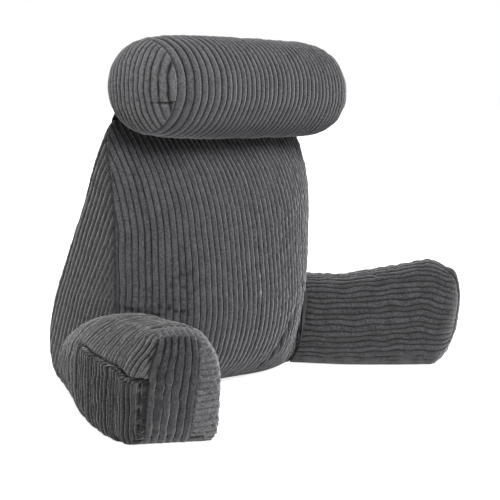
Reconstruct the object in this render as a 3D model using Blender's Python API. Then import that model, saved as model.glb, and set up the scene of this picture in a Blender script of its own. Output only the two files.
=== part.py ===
"""Reading pillow with arms: a wedge backrest, two stuffed arms and a neck roll on straps.

Metres, +Z up. The pillow faces -Y and stands on z = 0. The origin lies on the surface it
stands on, midway between the side panels, just under the backrest's top edge.
"""
import math

import bmesh
import bpy
from mathutils import Matrix, Vector

GAP = 0.0003              # gap between neighbouring pieces
SHARP_ANGLE = 50          # degrees: edges that turn more than this are shaded sharp

# ---- backrest ---------------------------------------------------------------------------
BACK_HEIGHT = 0.500
BACK_RINGS = 19
PANEL_POINTS = 25         # points across the front panel, and across the rear panel
GUSSET_POINTS = 7         # points across each side panel
PANEL_FULLNESS = 3.1      # how square the crown is: 2 is a parabola, more is fuller
CUTTER_SINK = 0.020       # how far the arms' cutter is carried below the floor
# One row for each level. Seams are y positions at the panel's edge. A crown is how far the
# panel stands out past its seams at mid width.
BACK_COLUMNS = ("height", "half_width", "front_seam", "front_crown",
                "rear_seam", "rear_crown", "side_crown")
BACK_ROWS = (
    (0.000, 0.222, 0.004, 0.032, 0.158, 0.012, 0.000),
    (0.015, 0.232, -0.006, 0.048, 0.178, 0.022, 0.001),
    (0.050, 0.236, -0.012, 0.084, 0.192, 0.034, 0.002),
    (0.100, 0.238, -0.015, 0.109, 0.191, 0.042, 0.003),
    (0.150, 0.239, -0.018, 0.118, 0.175, 0.046, 0.004),
    (0.200, 0.241, -0.021, 0.115, 0.151, 0.048, 0.004),
    (0.300, 0.243, -0.023, 0.102, 0.095, 0.046, 0.004),
    (0.350, 0.243, -0.022, 0.092, 0.068, 0.043, 0.003),
    (0.400, 0.243, -0.016, 0.076, 0.045, 0.038, 0.003),
    (0.430, 0.241, -0.008, 0.062, 0.033, 0.034, 0.002),
    (0.460, 0.238, 0.001, 0.044, 0.020, 0.028, 0.001),
    (0.485, 0.229, 0.008, 0.022, 0.015, 0.016, 0.000),
    (0.500, 0.216, 0.010, 0.004, 0.014, 0.004, 0.000),
)

# ---- arms -------------------------------------------------------------------------------
ARM_RINGS = 14
ARM_POINTS = 36
ARM_WAIST = 0.42          # height of the widest point, as a share of the arm's height
ARM_FOOT = 0.004          # how far the underside would bulge through the floor if it could
OUTER_FULLNESS = 2.4      # squareness of the section's outer top, inner top and underside
INNER_FULLNESS = 2.7
FOOT_FULLNESS = 3.2
END_DOME = 0.026          # how far the end panel stands out
END_DOME_ANGLES = (25, 50, 70, 85)
END_DOME_ROUND = 0.6      # under 1 the dome's shoulder is fuller than a circle's
END_LEAN = 0.018          # how far the end's top leans out past its foot
LEAN_EASE = 3             # the lean grows with this power of the reach
SLOPE_STEP = 0.01         # reach to each side from which the arm's direction is read
# One row for each station from the root, inside the backrest, to the end panel's seam.
ARM_COLUMNS = ("reach", "x", "y", "half_width", "height")
ARM_ROWS = {
    "arm_left": (
        (0.00, -0.180, 0.128, 0.078, 0.150),
        (0.20, -0.224, 0.045, 0.087, 0.163),
        (0.45, -0.270, -0.075, 0.086, 0.174),
        (0.70, -0.296, -0.174, 0.083, 0.180),
        (0.90, -0.315, -0.246, 0.080, 0.185),
        (1.00, -0.331, -0.275, 0.076, 0.179),
    ),
    "arm_right": (
        (0.00, 0.180, 0.120, 0.078, 0.160),
        (0.20, 0.250, 0.035, 0.087, 0.178),
        (0.45, 0.313, -0.055, 0.083, 0.186),
        (0.70, 0.380, -0.125, 0.077, 0.197),
        (0.90, 0.434, -0.184, 0.070, 0.209),
        (1.00, 0.453, -0.206, 0.064, 0.198),
    ),
}

# ---- neck roll --------------------------------------------------------------------------
ROLL_CENTRE = Vector((0.000, -0.066, 0.5556))
ROLL_YAW = 4.0            # degrees about Z: its right end lies a little further back
ROLL_DROP = 0.6           # degrees: its right end lies a little lower
ROLL_HALF = 0.2025        # from the middle to an end seam
ROLL_RADIUS = 0.0900
ROLL_POINTS = 40
ROLL_DOME = 0.064         # how far the end panels stand out past their seams
ROLL_DOME_ANGLES = (88, 76, 60, 40, 20)
ROLL_DOME_ROUND = 0.8
# One row for each station along the roll: -1 and 1 are the end seams.
ROLL_ROWS = (
    (-1.00, 0.900),
    (-0.90, 0.940),
    (-0.70, 0.975),
    (-0.40, 0.996),
    (0.00, 1.000),
    (0.40, 1.002),
    (0.70, 1.000),
    (0.90, 0.992),
    (1.00, 0.965),
)

# ---- straps -----------------------------------------------------------------------------
STRAP_OFFSET = 0.202      # from the middle to each strap's middle
STRAP_WIDTH = 0.022
STRAP_THICK = 0.0020
STRAP_TOP_ANGLE = 22.0    # where the strap is sewn on the roll, degrees above its middle
STRAP_STEPS = 6
STRAP_SLACK = 0.0008      # extra room behind the rear panel, which slopes
STRAP_FOOT = 0.385        # height of its lower end on the rear panel
# The roll lies skewed, so the left strap passes over the top edge and the right one behind it.
STRAP_COLUMNS = ("name", "side", "leave_angle", "land_height")
STRAP_ROWS = (
    ("strap_left", -1, -24.0, 0.5025),
    ("strap_right", 1, -2.0, 0.4550),
)

CORD_COLOUR = (0.075, 0.073, 0.078, 1.0)
WEB_COLOUR = (0.008, 0.008, 0.009, 1.0)


def smooth_row(rows, at):
    """Read a table at one value of its first column, with a smooth curve through the rows."""
    at = min(max(at, rows[0][0]), rows[-1][0])
    last = len(rows) - 1
    index = max(i for i in range(last) if rows[i][0] <= at)
    here = rows[index]
    after = rows[index + 1]
    before = rows[max(index - 1, 0)]
    beyond = rows[min(index + 2, last)]
    span = after[0] - here[0]
    t = (at - here[0]) / span
    values = []
    for k in range(1, len(here)):
        slope_here = (after[k] - before[k]) / (after[0] - before[0])
        slope_after = (beyond[k] - here[k]) / (beyond[0] - here[0])
        values.append(
            (2 * t ** 3 - 3 * t ** 2 + 1) * here[k]
            + (t ** 3 - 2 * t ** 2 + t) * span * slope_here
            + (3 * t ** 2 - 2 * t ** 3) * after[k]
            + (t ** 3 - t ** 2) * span * slope_after
        )
    return values


def power(value, exponent):
    """A signed power, used for full, squarish curves."""
    return math.copysign(abs(value) ** exponent, value)


def make_material(name, colour, roughness):
    material = bpy.data.materials.new(name)
    material.use_nodes = True
    shader = material.node_tree.nodes["Principled BSDF"]
    shader.inputs["Base Color"].default_value = colour
    shader.inputs["Roughness"].default_value = roughness
    shader.inputs["Metallic"].default_value = 0.0
    return material


def add_object(name, bm, material):
    """Turn a bmesh into a named object with outward faces and smooth shading."""
    bmesh.ops.recalc_face_normals(bm, faces=bm.faces)
    mesh = bpy.data.meshes.new(name)
    bm.to_mesh(mesh)
    bm.free()
    mesh.shade_smooth()
    mesh.set_sharp_from_angle(angle=math.radians(SHARP_ANGLE))
    mesh.materials.append(material)
    piece = bpy.data.objects.new(name, mesh)
    bpy.context.scene.collection.objects.link(piece)
    return piece


def loft(rings):
    """Skin a list of rings of equal length and close both ends with a flat face.

    Every quad is split along the same diagonal, so a grown copy stays parallel to its original.
    """
    bm = bmesh.new()
    rows = [[bm.verts.new(point) for point in ring] for ring in rings]
    count = len(rows[0])
    for lower, upper in zip(rows, rows[1:]):
        for i in range(count):
            j = (i + 1) % count
            bm.faces.new((lower[i], lower[j], upper[j]))
            bm.faces.new((lower[i], upper[j], upper[i]))
    bm.faces.new(reversed(rows[0]))
    bm.faces.new(rows[-1])
    return bm


def backrest_ring(height, grow):
    """One level of the backrest: front panel, side panel, rear panel, side panel."""
    row = dict(zip(BACK_COLUMNS[1:], smooth_row(BACK_ROWS, height)))
    half = row["half_width"] + grow
    front = row["front_seam"] - grow
    rear = row["rear_seam"] + grow
    ring = []
    for i in range(PANEL_POINTS - 1):
        across = 2 * i / (PANEL_POINTS - 1) - 1
        crown = row["front_crown"] * (1 - abs(across) ** PANEL_FULLNESS)
        ring.append(Vector((across * half, front - crown, height)))
    for i in range(GUSSET_POINTS - 1):
        deep = i / (GUSSET_POINTS - 1)
        bulge = row["side_crown"] * 4 * deep * (1 - deep)
        ring.append(Vector((half + bulge, front + (rear - front) * deep, height)))
    for i in range(PANEL_POINTS - 1):
        across = 1 - 2 * i / (PANEL_POINTS - 1)
        crown = row["rear_crown"] * (1 - abs(across) ** PANEL_FULLNESS)
        ring.append(Vector((across * half, rear + crown, height)))
    for i in range(GUSSET_POINTS - 1):
        deep = 1 - i / (GUSSET_POINTS - 1)
        bulge = row["side_crown"] * 4 * deep * (1 - deep)
        ring.append(Vector((-half - bulge, front + (rear - front) * deep, height)))
    return ring


def backrest_rings(grow=0.0):
    """Levels lie closer together near the foot and the top edge, where the curve is tight."""
    rings = []
    for i in range(BACK_RINGS):
        height = BACK_HEIGHT * (0.5 - 0.5 * math.cos(math.pi * i / (BACK_RINGS - 1)))
        rings.append(backrest_ring(height, grow))
    return rings


def cut_away(piece, cutter):
    cut = piece.modifiers.new("cut_" + cutter.name, "BOOLEAN")
    cut.operation = "DIFFERENCE"
    cut.solver = "EXACT"
    cut.object = cutter


def hide_cutter(cutter):
    cutter.hide_render = True
    cutter.display_type = "WIRE"
    return cutter


def make_backrest(roll_cutter, material):
    """The wedge, dented where the neck roll lies on its top edge."""
    backrest = add_object("backrest", loft(backrest_rings()), material)
    cut_away(backrest, roll_cutter)
    return backrest


def make_backrest_cutter(material):
    """The backrest grown by the gap and carried below the floor, to trim the arms' roots."""
    rings = backrest_rings(grow=GAP)
    sunk = [point - Vector((0, 0, CUTTER_SINK)) for point in rings[0]]
    return hide_cutter(add_object("backrest_cutter", loft([sunk] + rings), material))


def arm_section(half_width, height):
    """An arm's cross section as (inward, up) pairs: a flat foot and a full, arched top."""
    waist = ARM_WAIST * height
    section = []
    for i in range(ARM_POINTS):
        angle = 2 * math.pi * i / ARM_POINTS
        inward = math.cos(angle)
        upward = math.sin(angle)
        top_fullness = INNER_FULLNESS if inward > 0 else OUTER_FULLNESS
        fullness = top_fullness if upward >= 0 else FOOT_FULLNESS
        reach = height - waist if upward >= 0 else waist + ARM_FOOT
        side = power(inward, 2 / fullness) * half_width
        level = waist + power(upward, 2 / fullness) * reach
        section.append((side, max(level, 0.0)))
    return section


def arm_rings(rows):
    """Sections along the arm's line, then smaller ones over the domed end panel."""
    inward_sign = 1 if rows[0][1] < 0 else -1
    rings = []
    for i in range(ARM_RINGS):
        reach = i / (ARM_RINGS - 1)
        x, y, half_width, height = smooth_row(rows, reach)
        ahead = smooth_row(rows, reach + SLOPE_STEP)
        behind = smooth_row(rows, reach - SLOPE_STEP)
        along = Vector((ahead[0] - behind[0], ahead[1] - behind[1], 0)).normalized()
        inward = Vector((-along.y, along.x, 0)) * inward_sign
        lean = END_LEAN * reach ** LEAN_EASE
        ring = []
        for side, level in arm_section(half_width, height):
            shift = along * lean * (2 * level / height - 1)
            ring.append(Vector((x, y, level)) + inward * side + shift)
        rings.append(ring)
    middle = Vector((x, y, ARM_WAIST * height))
    for angle in END_DOME_ANGLES:
        shrink = math.cos(math.radians(angle)) ** END_DOME_ROUND
        out = along * END_DOME * math.sin(math.radians(angle))
        rings.append([middle + (point - middle) * shrink + out for point in rings[ARM_RINGS - 1]])
    return rings


def make_arm(name, cutter, material):
    arm = add_object(name, loft(arm_rings(ARM_ROWS[name])), material)
    cut_away(arm, cutter)
    return arm


def roll_frame():
    """The roll's own axes: X along it, Y to the rear, Z up."""
    yaw = Matrix.Rotation(math.radians(ROLL_YAW), 4, "Z")
    drop = Matrix.Rotation(math.radians(ROLL_DROP), 4, "Y")
    return Matrix.Translation(ROLL_CENTRE) @ yaw @ drop


def roll_radius(along):
    station = min(max(along / ROLL_HALF, -1.0), 1.0)
    return ROLL_RADIUS * smooth_row(ROLL_ROWS, station)[0]


def roll_ring(along, radius):
    frame = roll_frame()
    ring = []
    for i in range(ROLL_POINTS):
        angle = 2 * math.pi * i / ROLL_POINTS
        local = Vector((along, radius * math.cos(angle), radius * math.sin(angle)))
        ring.append(frame @ local)
    return ring


def roll_rings(grow=0.0):
    """The roll's turned form: a domed end, the body's rows, and the other domed end."""
    left = []
    right = []
    for angle in ROLL_DOME_ANGLES:
        out = (ROLL_DOME + grow) * math.sin(math.radians(angle))
        share = math.cos(math.radians(angle)) ** ROLL_DOME_ROUND
        left.append(roll_ring(-ROLL_HALF - out, roll_radius(-ROLL_HALF) * share + grow))
        right.append(roll_ring(ROLL_HALF + out, roll_radius(ROLL_HALF) * share + grow))
    body = [roll_ring(row[0] * ROLL_HALF, ROLL_RADIUS * row[1] + grow) for row in ROLL_ROWS]
    return left + body + right[::-1]


def make_neck_roll(material):
    return add_object("neck_roll", loft(roll_rings()), material)


def make_roll_cutter(material):
    return hide_cutter(add_object("roll_cutter", loft(roll_rings(grow=GAP)), material))


def rear_face(x, height):
    """The y position of the backrest's rear panel at a place across and up."""
    row = dict(zip(BACK_COLUMNS[1:], smooth_row(BACK_ROWS, height)))
    across = min(abs(x) / row["half_width"], 1.0)
    return row["rear_seam"] + row["rear_crown"] * (1 - across ** PANEL_FULLNESS)


def strap_stations(side, leave_angle, land_height):
    """Pairs of middle point and cross direction: down the roll's rear, then the rear panel."""
    frame = roll_frame()
    roll_axis = (frame @ Vector((1, 0, 0)) - frame @ Vector((0, 0, 0))).normalized()
    x = side * STRAP_OFFSET
    stand_off = GAP + STRAP_THICK / 2
    radius = roll_radius(side * (STRAP_OFFSET - STRAP_WIDTH / 2)) + stand_off
    stations = []
    for i in range(STRAP_STEPS + 1):
        share = i / STRAP_STEPS
        angle = math.radians(STRAP_TOP_ANGLE + (leave_angle - STRAP_TOP_ANGLE) * share)
        spot = frame @ Vector((x, radius * math.cos(angle), radius * math.sin(angle)))
        stations.append((spot, roll_axis))
    for i in range(STRAP_STEPS + 1):
        height = land_height + (STRAP_FOOT - land_height) * i / STRAP_STEPS
        inner = rear_face(abs(x) - STRAP_WIDTH / 2, height)
        stations.append((Vector((x, inner + stand_off + STRAP_SLACK, height)), Vector((1, 0, 0))))
    return stations


def make_strap(name, side, leave_angle, land_height, material):
    """A flat webbing strip swept along its stations."""
    stations = strap_stations(side, leave_angle, land_height)
    last = len(stations) - 1
    rings = []
    for i, (middle, cross) in enumerate(stations):
        along = stations[min(i + 1, last)][0] - stations[max(i - 1, 0)][0]
        across = cross * (STRAP_WIDTH / 2)
        thick = along.cross(cross).normalized() * (STRAP_THICK / 2)
        rings.append([middle - across - thick, middle + across - thick,
                      middle + across + thick, middle - across + thick])
    return add_object(name, loft(rings), material)


def main():
    for old in list(bpy.data.objects):
        bpy.data.objects.remove(old)
    cord = make_material("charcoal_corduroy", CORD_COLOUR, 0.95)
    make_neck_roll(cord)
    make_backrest(make_roll_cutter(cord), cord)
    cutter = make_backrest_cutter(cord)
    for name in ARM_ROWS:
        make_arm(name, cutter, cord)
    web = make_material("black_webbing", WEB_COLOUR, 0.8)
    for row in STRAP_ROWS:
        make_strap(*row, web)


if __name__ == "__main__":
    main()
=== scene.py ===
"""Looks for the reading pillow with arms: ribbed corduroy cushions, webbing straps and a studio.

The pillow is sewn from wide-wale corduroy. Each filled chamber is one closed cover, built panel
by panel: a grid of points follows the panel's ribs, and the ribs, seams, darts and dimples are
raised or pressed along the cover's own normals. Metres, +Z up, the pillow faces -Y.
"""
import math

import bmesh
import bpy
import numpy as np
from bpy.props import FloatProperty, FloatVectorProperty, PointerProperty
from mathutils import Matrix, Vector
from mathutils.bvhtree import BVHTree


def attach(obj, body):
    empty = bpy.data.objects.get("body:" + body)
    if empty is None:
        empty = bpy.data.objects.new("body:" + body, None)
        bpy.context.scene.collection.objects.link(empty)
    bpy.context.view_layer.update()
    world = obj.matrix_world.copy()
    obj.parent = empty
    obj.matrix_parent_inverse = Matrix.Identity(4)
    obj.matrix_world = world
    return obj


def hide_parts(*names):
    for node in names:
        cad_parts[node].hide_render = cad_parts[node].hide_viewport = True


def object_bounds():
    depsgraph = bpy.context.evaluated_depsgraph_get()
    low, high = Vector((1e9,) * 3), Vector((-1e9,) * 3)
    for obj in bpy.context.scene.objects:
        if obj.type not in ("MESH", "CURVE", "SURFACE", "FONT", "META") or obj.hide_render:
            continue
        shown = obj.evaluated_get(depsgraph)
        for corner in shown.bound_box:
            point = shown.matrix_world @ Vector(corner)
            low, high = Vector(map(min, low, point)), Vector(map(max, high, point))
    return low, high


bl_info = {
    "name": "Reading pillow with arms",
    "version": (1, 0, 0),
    "blender": (4, 5, 0),
    "location": "View3D > Sidebar > Pillow",
    "description": "Sews the corduroy covers of a reading pillow around its solid chambers",
    "category": "Object",
}

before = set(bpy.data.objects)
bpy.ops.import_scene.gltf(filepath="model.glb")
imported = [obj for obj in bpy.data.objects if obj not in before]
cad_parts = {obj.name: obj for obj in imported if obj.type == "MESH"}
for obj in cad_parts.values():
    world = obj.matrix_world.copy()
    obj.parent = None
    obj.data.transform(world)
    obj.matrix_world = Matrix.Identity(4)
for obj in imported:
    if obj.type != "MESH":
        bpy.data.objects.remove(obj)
CAD_BOX = [list(corner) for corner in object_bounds()]

BODY = "root"
FLOOR = CAD_BOX[0][2]

# ---- backrest: one row for each level, as the solid chamber is made ----
BACK_HEIGHT = 0.500
PANEL_FULLNESS = 3.1
# height, half_width, front_seam, front_crown, rear_seam, rear_crown, side_crown
BACK_ROWS = (
    (0.000, 0.222, 0.004, 0.032, 0.158, 0.012, 0.000),
    (0.015, 0.232, -0.006, 0.048, 0.178, 0.022, 0.001),
    (0.050, 0.236, -0.012, 0.084, 0.192, 0.034, 0.002),
    (0.100, 0.238, -0.015, 0.109, 0.191, 0.042, 0.003),
    (0.150, 0.239, -0.018, 0.118, 0.175, 0.046, 0.004),
    (0.200, 0.241, -0.021, 0.115, 0.151, 0.048, 0.004),
    (0.300, 0.243, -0.023, 0.102, 0.095, 0.046, 0.004),
    (0.350, 0.243, -0.022, 0.092, 0.068, 0.043, 0.003),
    (0.400, 0.243, -0.016, 0.076, 0.045, 0.038, 0.003),
    (0.430, 0.241, -0.008, 0.062, 0.033, 0.034, 0.002),
    (0.460, 0.238, 0.001, 0.044, 0.020, 0.028, 0.001),
    (0.485, 0.229, 0.008, 0.022, 0.015, 0.016, 0.000),
    (0.500, 0.216, 0.010, 0.004, 0.014, 0.004, 0.000),
)
BACK_LEVELS = 110
INNER_WALES = 18              # wales each side of the middle that lie on the grid's columns
FRONT_MARGIN = 40             # columns between those and the front's seam
REAR_MARGIN = 26
GUSSET_COLUMNS = 100
LEFT_CLOTH = 0.276            # cloth from the middle of a panel to its left seam
MIDDLE_SHIFT = 0.003          # how far the middle groove of the front lies to the right
# The front swells less on its right side, low down, where the cloth is pulled to the corner.
RIGHT_FULLNESS = 2.5
RIGHT_SLACK = (0.26, 0.38)
# The front's bottom edge stands a little off the floor: how far, up to which height, and where
# across the front that comes and goes.
FOOT_LIFT = 0.007
FOOT_LIFT_HEIGHT = 0.09
FOOT_LIFT_LEFT = (-0.24, -0.15)
FOOT_LIFT_RIGHT = (-0.02, 0.15)
FOOT_SET_BACK = 0.05          # how far back the underside's front edge lies
FOOT_NARROWING = 0.97         # width of the underside, for that of the cover's lowest ring
FOOT_SET_IN = 0.004           # how far forward its other edges lie
FOOT_REAR = 0.010             # how far it stays inside the cover's rearmost point
GUSSET_EDGE = 0.2528          # y of the slanted rear edge, carried down to the floor
GUSSET_SLOPE = 0.503          # how far that edge comes forward for each metre of height

# Dimples and gathers pressed into a panel: place across, place up, turn of the long side in
# degrees, half length, half width, depth. Raised where the depth is negative.
FRONT_DENTS = (
    (-0.206, 0.179, -5.0, 0.030, 0.004, -0.006),
    (0.087, 0.078, 68.5, 0.055, 0.007, 0.010),
    (0.205, 0.085, 90.0, 0.075, 0.035, 0.018),
)
# Small tucks above the left arm, and how dark the painted shadow in them is at which depth.
FRONT_TUCKS = (
    (-0.222, 0.171, -19.0, 0.012, 0.0035, 0.004),
    (-0.196, 0.163, -19.0, 0.012, 0.0035, 0.004),
    (-0.1890, 0.1765, 0.0, 0.0035, 0.004, 0.005),
    (-0.1790, 0.1750, 0.0, 0.0035, 0.004, 0.005),
    (-0.1690, 0.1690, 0.0, 0.0040, 0.004, 0.004),
    (-0.1590, 0.1680, 0.0, 0.0040, 0.004, 0.004),
    (-0.1510, 0.1660, 0.0, 0.0040, 0.004, 0.003),
)
TUCK_SHADE = 0.3
TUCK_DEPTH = 0.005
# Where the front's pile is pressed flat above the left arm: place across, place up, half width,
# half height.
PRESSED = (-0.158, 0.222, 0.030, 0.050)
PRESSED_DEPTH = 0.0022
# How dark the painted shade in those creases is.
PRESSED_SHADE = 0.6
# Where the cloth crumples above an arm: height of the middle and half height, and from where to
# where across the front it comes in.
CRUMPLE = (0.174, 0.010)
CRUMPLE_ACROSS = (0.10, 0.17)
# How far the side panels' wales fan out above the arms: strength, height it starts at, reach.
SIDE_FAN = (0.16, 0.31, 0.13)
SIDE_RIBS = 0.72              # height of the side panels' ribs, for the front's
# The front's ribs are lower near the floor: from and to which height, and by how much.
LOW_RIBS = (0.08, 0.20, 0.25)
# Painted light and shade multiplied into the colour, by panel, and painted shade under the roll,
# near the floor and atop the sides: from and to which height, share.
FRONT_PAINTED_SHADING = 0.872
SIDE_PAINTED_SHADING = 0.552
REAR_PAINTED_SHADING = 0.95
PAINTED_SHADE_UNDER_ROLL = (0.446, 0.464, 0.45)
PAINTED_SHADE_NEAR_FLOOR = (0.03, 0.18, 0.22)
PAINTED_SHADE_SIDE_TOP = (0.28, 0.40, 0.10)
FRONT_TINT = 1.0
OTHER_TINT = 0.25

# ---- arms ----
ARM_WAIST = 0.42
ARM_FOOT = 0.004
OUTER_FULLNESS = 2.4
INNER_FULLNESS = 2.7
# How square an arm is along its foot, at its root and at its end, and between which shares of
# its length that changes.
FOOT_FULLNESS = {"arm_left": (2.5, 6.5), "arm_right": (3.2, 4.2)}
FOOT_CHANGE = (0.30, 0.92)
END_SKEW = {"arm_left": 0.15, "arm_right": 0.0}     # how far the end's inner side stands forward
SKEW_REACH = 0.06
# How far the inner wales stay level over the rounded end, instead of closing in with its rings.
END_WALES = {"arm_left": 1.0, "arm_right": 0.5}
# That end's inner side is also painted lighter: painted light.
WORN_AND_LIT_ARM = "arm_left"         # whose end is worn on its inner side
NARROW_ARM = "arm_right"      # whose cap runs to a point over the arm's top
# How far an arm's end stands out, how round its shoulder is, and how many degrees of that curve
# the arm's rings cover.
ARM_ENDS = {"arm_left": (0.026, 0.6, 46.0), "arm_right": (0.039, 0.9, 60.0)}
END_RINGS = 24
END_LEVELS = 96               # points from the foot to the top of an arm's end
END_LEAN = 0.018
LEAN_EASE = 3
SLOPE_STEP = 0.01
# reach, x, y, half_width, height
ARM_ROWS = {
    "arm_left": (
        (0.00, -0.186, 0.150, 0.052, 0.094),
        (0.06, -0.195, 0.125, 0.058, 0.106),
        (0.20, -0.222, 0.050, 0.071, 0.138),
        (0.45, -0.270, -0.075, 0.084, 0.173),
        (0.70, -0.299, -0.174, 0.086, 0.181),
        (0.90, -0.318, -0.246, 0.082, 0.186),
        (1.00, -0.331, -0.275, 0.076, 0.180),
    ),
    "arm_right": (
        (0.00, 0.180, 0.120, 0.078, 0.160),
        (0.20, 0.250, 0.035, 0.087, 0.1745),
        (0.45, 0.313, -0.055, 0.083, 0.177),
        (0.70, 0.380, -0.125, 0.077, 0.194),
        (0.90, 0.4285, -0.177, 0.070, 0.207),
        (1.00, 0.4475, -0.200, 0.064, 0.193),
    ),
}
# Angles round an arm's section, in degrees up from its inner side.
TOP_SEAM = {"arm_left": 62.0, "arm_right": 104.0}
TOP_OUTER = 132.0
DART_LOW = 168.0
FOOT_OUTER = 240.0
FOOT_INNER = -60.0
# Wales below the top seam that lie on the grid's columns, and the columns of the parts after
# them: down to the foot, the foot itself, up to the dart, past the dart, and over the top.
ARM_INNER_WALES = {"arm_left": 15, "arm_right": 21}
ARM_COLUMNS = {"arm_left": (22, 50, 27, 31, 66), "arm_right": (6, 13, 27, 31, 66)}
# Depth of an arm's inner panel at its full height, that its wales share out evenly.
INNER_DROP = {"arm_left": 0.2000, "arm_right": 0.270}
# The end caps' side seams: level, inward place of the outer seam, of the inner seam.
CAP_ROWS = {
    "arm_left": (
        (0.00, -0.044, 0.027),
        (0.05, -0.044, 0.029),
        (0.10, -0.043, 0.033),
        (0.14, -0.037, 0.036),
        (0.17, -0.026, 0.035),
        (0.20, -0.016, 0.031),
    ),
    "arm_right": (
        (0.00, -0.032, 0.031),
        (0.17, -0.030, 0.031),
        (0.20, -0.024, 0.028),
    ),
}
CAP_BACK = 0.030              # how far the cap runs back over the arm's top
CAP_POINT = 0.010             # how far past the end a narrow cap reaches its full width
CAP_WALES = 6
CAP_TOP = 0.20                # highest level in the table
FACE_RIM = 0.985              # how far the face's columns reach inside the last ring
FACE_COLUMNS = (21, 23)       # columns outside the cap, and inside it
FACE_PASSES = 4
FACE_FROM_SEAM = -0.06        # distance from the top seam that the face's outer half is given
SEAM_EDGE = 0.001             # how far into the cap its seam's folds reach
# The dart in the outer panel: distance back from the arm's end, level.
DART_ROWS = (
    (-0.050, 0.1080),
    (-0.008, 0.1120),
    (0.032, 0.1170),
    (0.092, 0.1220),
    (0.162, 0.1265),
    (0.212, 0.1325),
    (0.262, 0.1340),
)
DART_TOP = 0.110              # level of the dart beside the cap
DART_END = (0.180, 0.245)     # how far back from the arm's end the dart fades out
DART_BLEND = (-0.003, 0.005)  # heights above it over which the wales take on their slant
# Slant of the wales above it: beside the cap, more of it further back, and from where to where.
DART_SLANT = (0.55, 0.50)
DART_SLANT_REACH = (0.03, 0.15)
DART_FOLD = (0.0055, 0.002, 0.0032)    # depth of the fold, its height above the seam, half width
DART_SINK = (0.0045, 0.016)            # how far the band above is drawn in, and its reach
DART_LIP = (0.0030, 0.0022, 0.010)     # how far the panel below stands out, its ribs more, reach
# The fold's darkness is painted shade.
DART_SHADE = (0.7, 0.0035)             # how dark the fold is, and its half width
END_CROWDING = 0.4            # how much closer the outer wales stand beside the cap
CROWDING_REACH = 0.06
STRIP_WIDTH = 0.012           # width of the gathered strip beside the cap's outer seam
STRIP_FOOT = (0.004, 0.020)
STRIP_SMOOTH = 0.75           # how much lower the ribs are in the strip
# Pockets in the gathered strip: inward, level, turn, half length, half width, depth.
STRIP_DENTS = (
    (-0.055, 0.109, 80.0, 0.006, 0.004, 0.007),
    (-0.055, 0.092, 80.0, 0.006, 0.004, 0.005),
    (-0.055, 0.064, 80.0, 0.006, 0.004, 0.005),
    (-0.053, 0.040, 80.0, 0.006, 0.004, 0.003),
    (-0.040, 0.150, 70.0, 0.006, 0.004, 0.005),
)
# Painted shadow in the pockets, and a painted highlight on the puckers:
POCKET_SHADE = 60.0           # how much darker a pocket is for its depth
PUCKER_SHADE = (30.0, 0.03)   # how much lighter a pucker is for its height, and at least
PILE_TOP = 1.05
# The worn end: how much lower its ribs are, how much painted light lightens its grooves, and how
# near the end that sets in.
WORN_SMOOTH = 0.65
WORN_END_PAINTED_LIGHT = 0.12
END_TURN = 0.004
# Dimples in an arm's cover: along its cloth, distance below the top seam, and so on as above.
ARM_DENTS = {
    "arm_left": (),
    "arm_right": (
        (0.280, 0.058, 75.0, 0.007, 0.0035, 0.004),
        (0.289, 0.066, 10.0, 0.008, 0.0035, 0.004),
        (0.274, 0.042, 60.0, 0.007, 0.004, 0.003),
    ),
}
# How far an arm's top edge is gathered: sway of its wales, reach below the seam, height.
ARM_GATHERS = {"arm_left": (0.0022, 0.022, 0.0), "arm_right": (0.0040, 0.030, 0.0014)}
# Ribs on the arms stand higher than on the backrest, more on the outer side and below the dart.
ARM_RIBS = 1.1
OUTER_RIBS = 0.15
LOWER_RIBS = 0.35
# How much lower they are on the inner panel, and from and to which distance below its seam.
INNER_SMOOTH = {"arm_left": 0.0, "arm_right": 0.45}
INNER_SMOOTH_REACH = (0.03, 0.09)
# Painted groove shade is stronger on the outer side and on the cap.
OUTER_GROOVE_SHADE = 0.5
CAP_GROOVE_SHADE = 0.3
# Painted light and shade on the inner panel, painted light on its worn end besides, on the cap and
# the outer side, and painted shade below the dart, near the end and further back.
INNER_PAINTED_SHADING = 0.80
INNER_END_PAINTED_LIGHT = 0.74
CAP_PAINTED_SHADING = 0.58
OUTER_PAINTED_SHADING = 0.97
LOWER_SHADE = (0.56, 0.22)
LOWER_SHADE_REACH = (0.14, 0.30)
LOWER_BLEND = 0.004
ARM_TINTS = (0.5, 0.0, 1.0)   # on the inner panel, the outer side and the cap
PINCH_REACH = 0.04            # how near the backrest an arm is drawn in
PINCH_FADE = 0.009
PINCH_FOOT = 0.004
CUTTER_FOOT = 0.001           # the solid that cuts an arm's root starts below the floor
CUTTER_SINK = 0.02
MERGE_DISTANCE = 1e-5

# ---- neck roll ----
ROLL_CENTRE = (0.000, -0.066, 0.5556)
ROLL_YAW = 4.0
ROLL_DROP = 0.6
ROLL_HALF = 0.2025
ROLL_RADIUS = 0.0900
ROLL_DOME = 0.064
ROLL_DOME_ROUND = 0.8
ROLL_WALES = 36
ROLL_COLUMNS = 120
# Where the roll's grooves lie, along its cloth from its middle: they stand wider to the left.
ROLL_GROOVES = (
    (0, -0.2203),
    (1, -0.2017),
    (3, -0.1696),
    (5, -0.1405),
    (7, -0.1110),
    (9, -0.0857),
    (11, -0.0618),
    (25, 0.1027),
    (36, 0.2203),
)
ROLL_SAG = 0.10               # how far the right end's lower half stands out, for its height
ROLL_SAG_FROM = (0.08, 0.20)
ROLL_SWAY_FADE = (0.0, 0.03)
ROLL_SWELL_FADE = (0.0, 0.02)
ROLL_SWAY_ROUND = 0.1         # radius of the ring on which its sways are taken
ROLL_SWELL_ROUND = 0.05
ROLL_HEM = 0.0178             # how far the roll's own cloth runs over its domed ends
ROLL_RIBS = (0.62, 0.35)      # height of its ribs below, and how much higher they are on top
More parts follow.
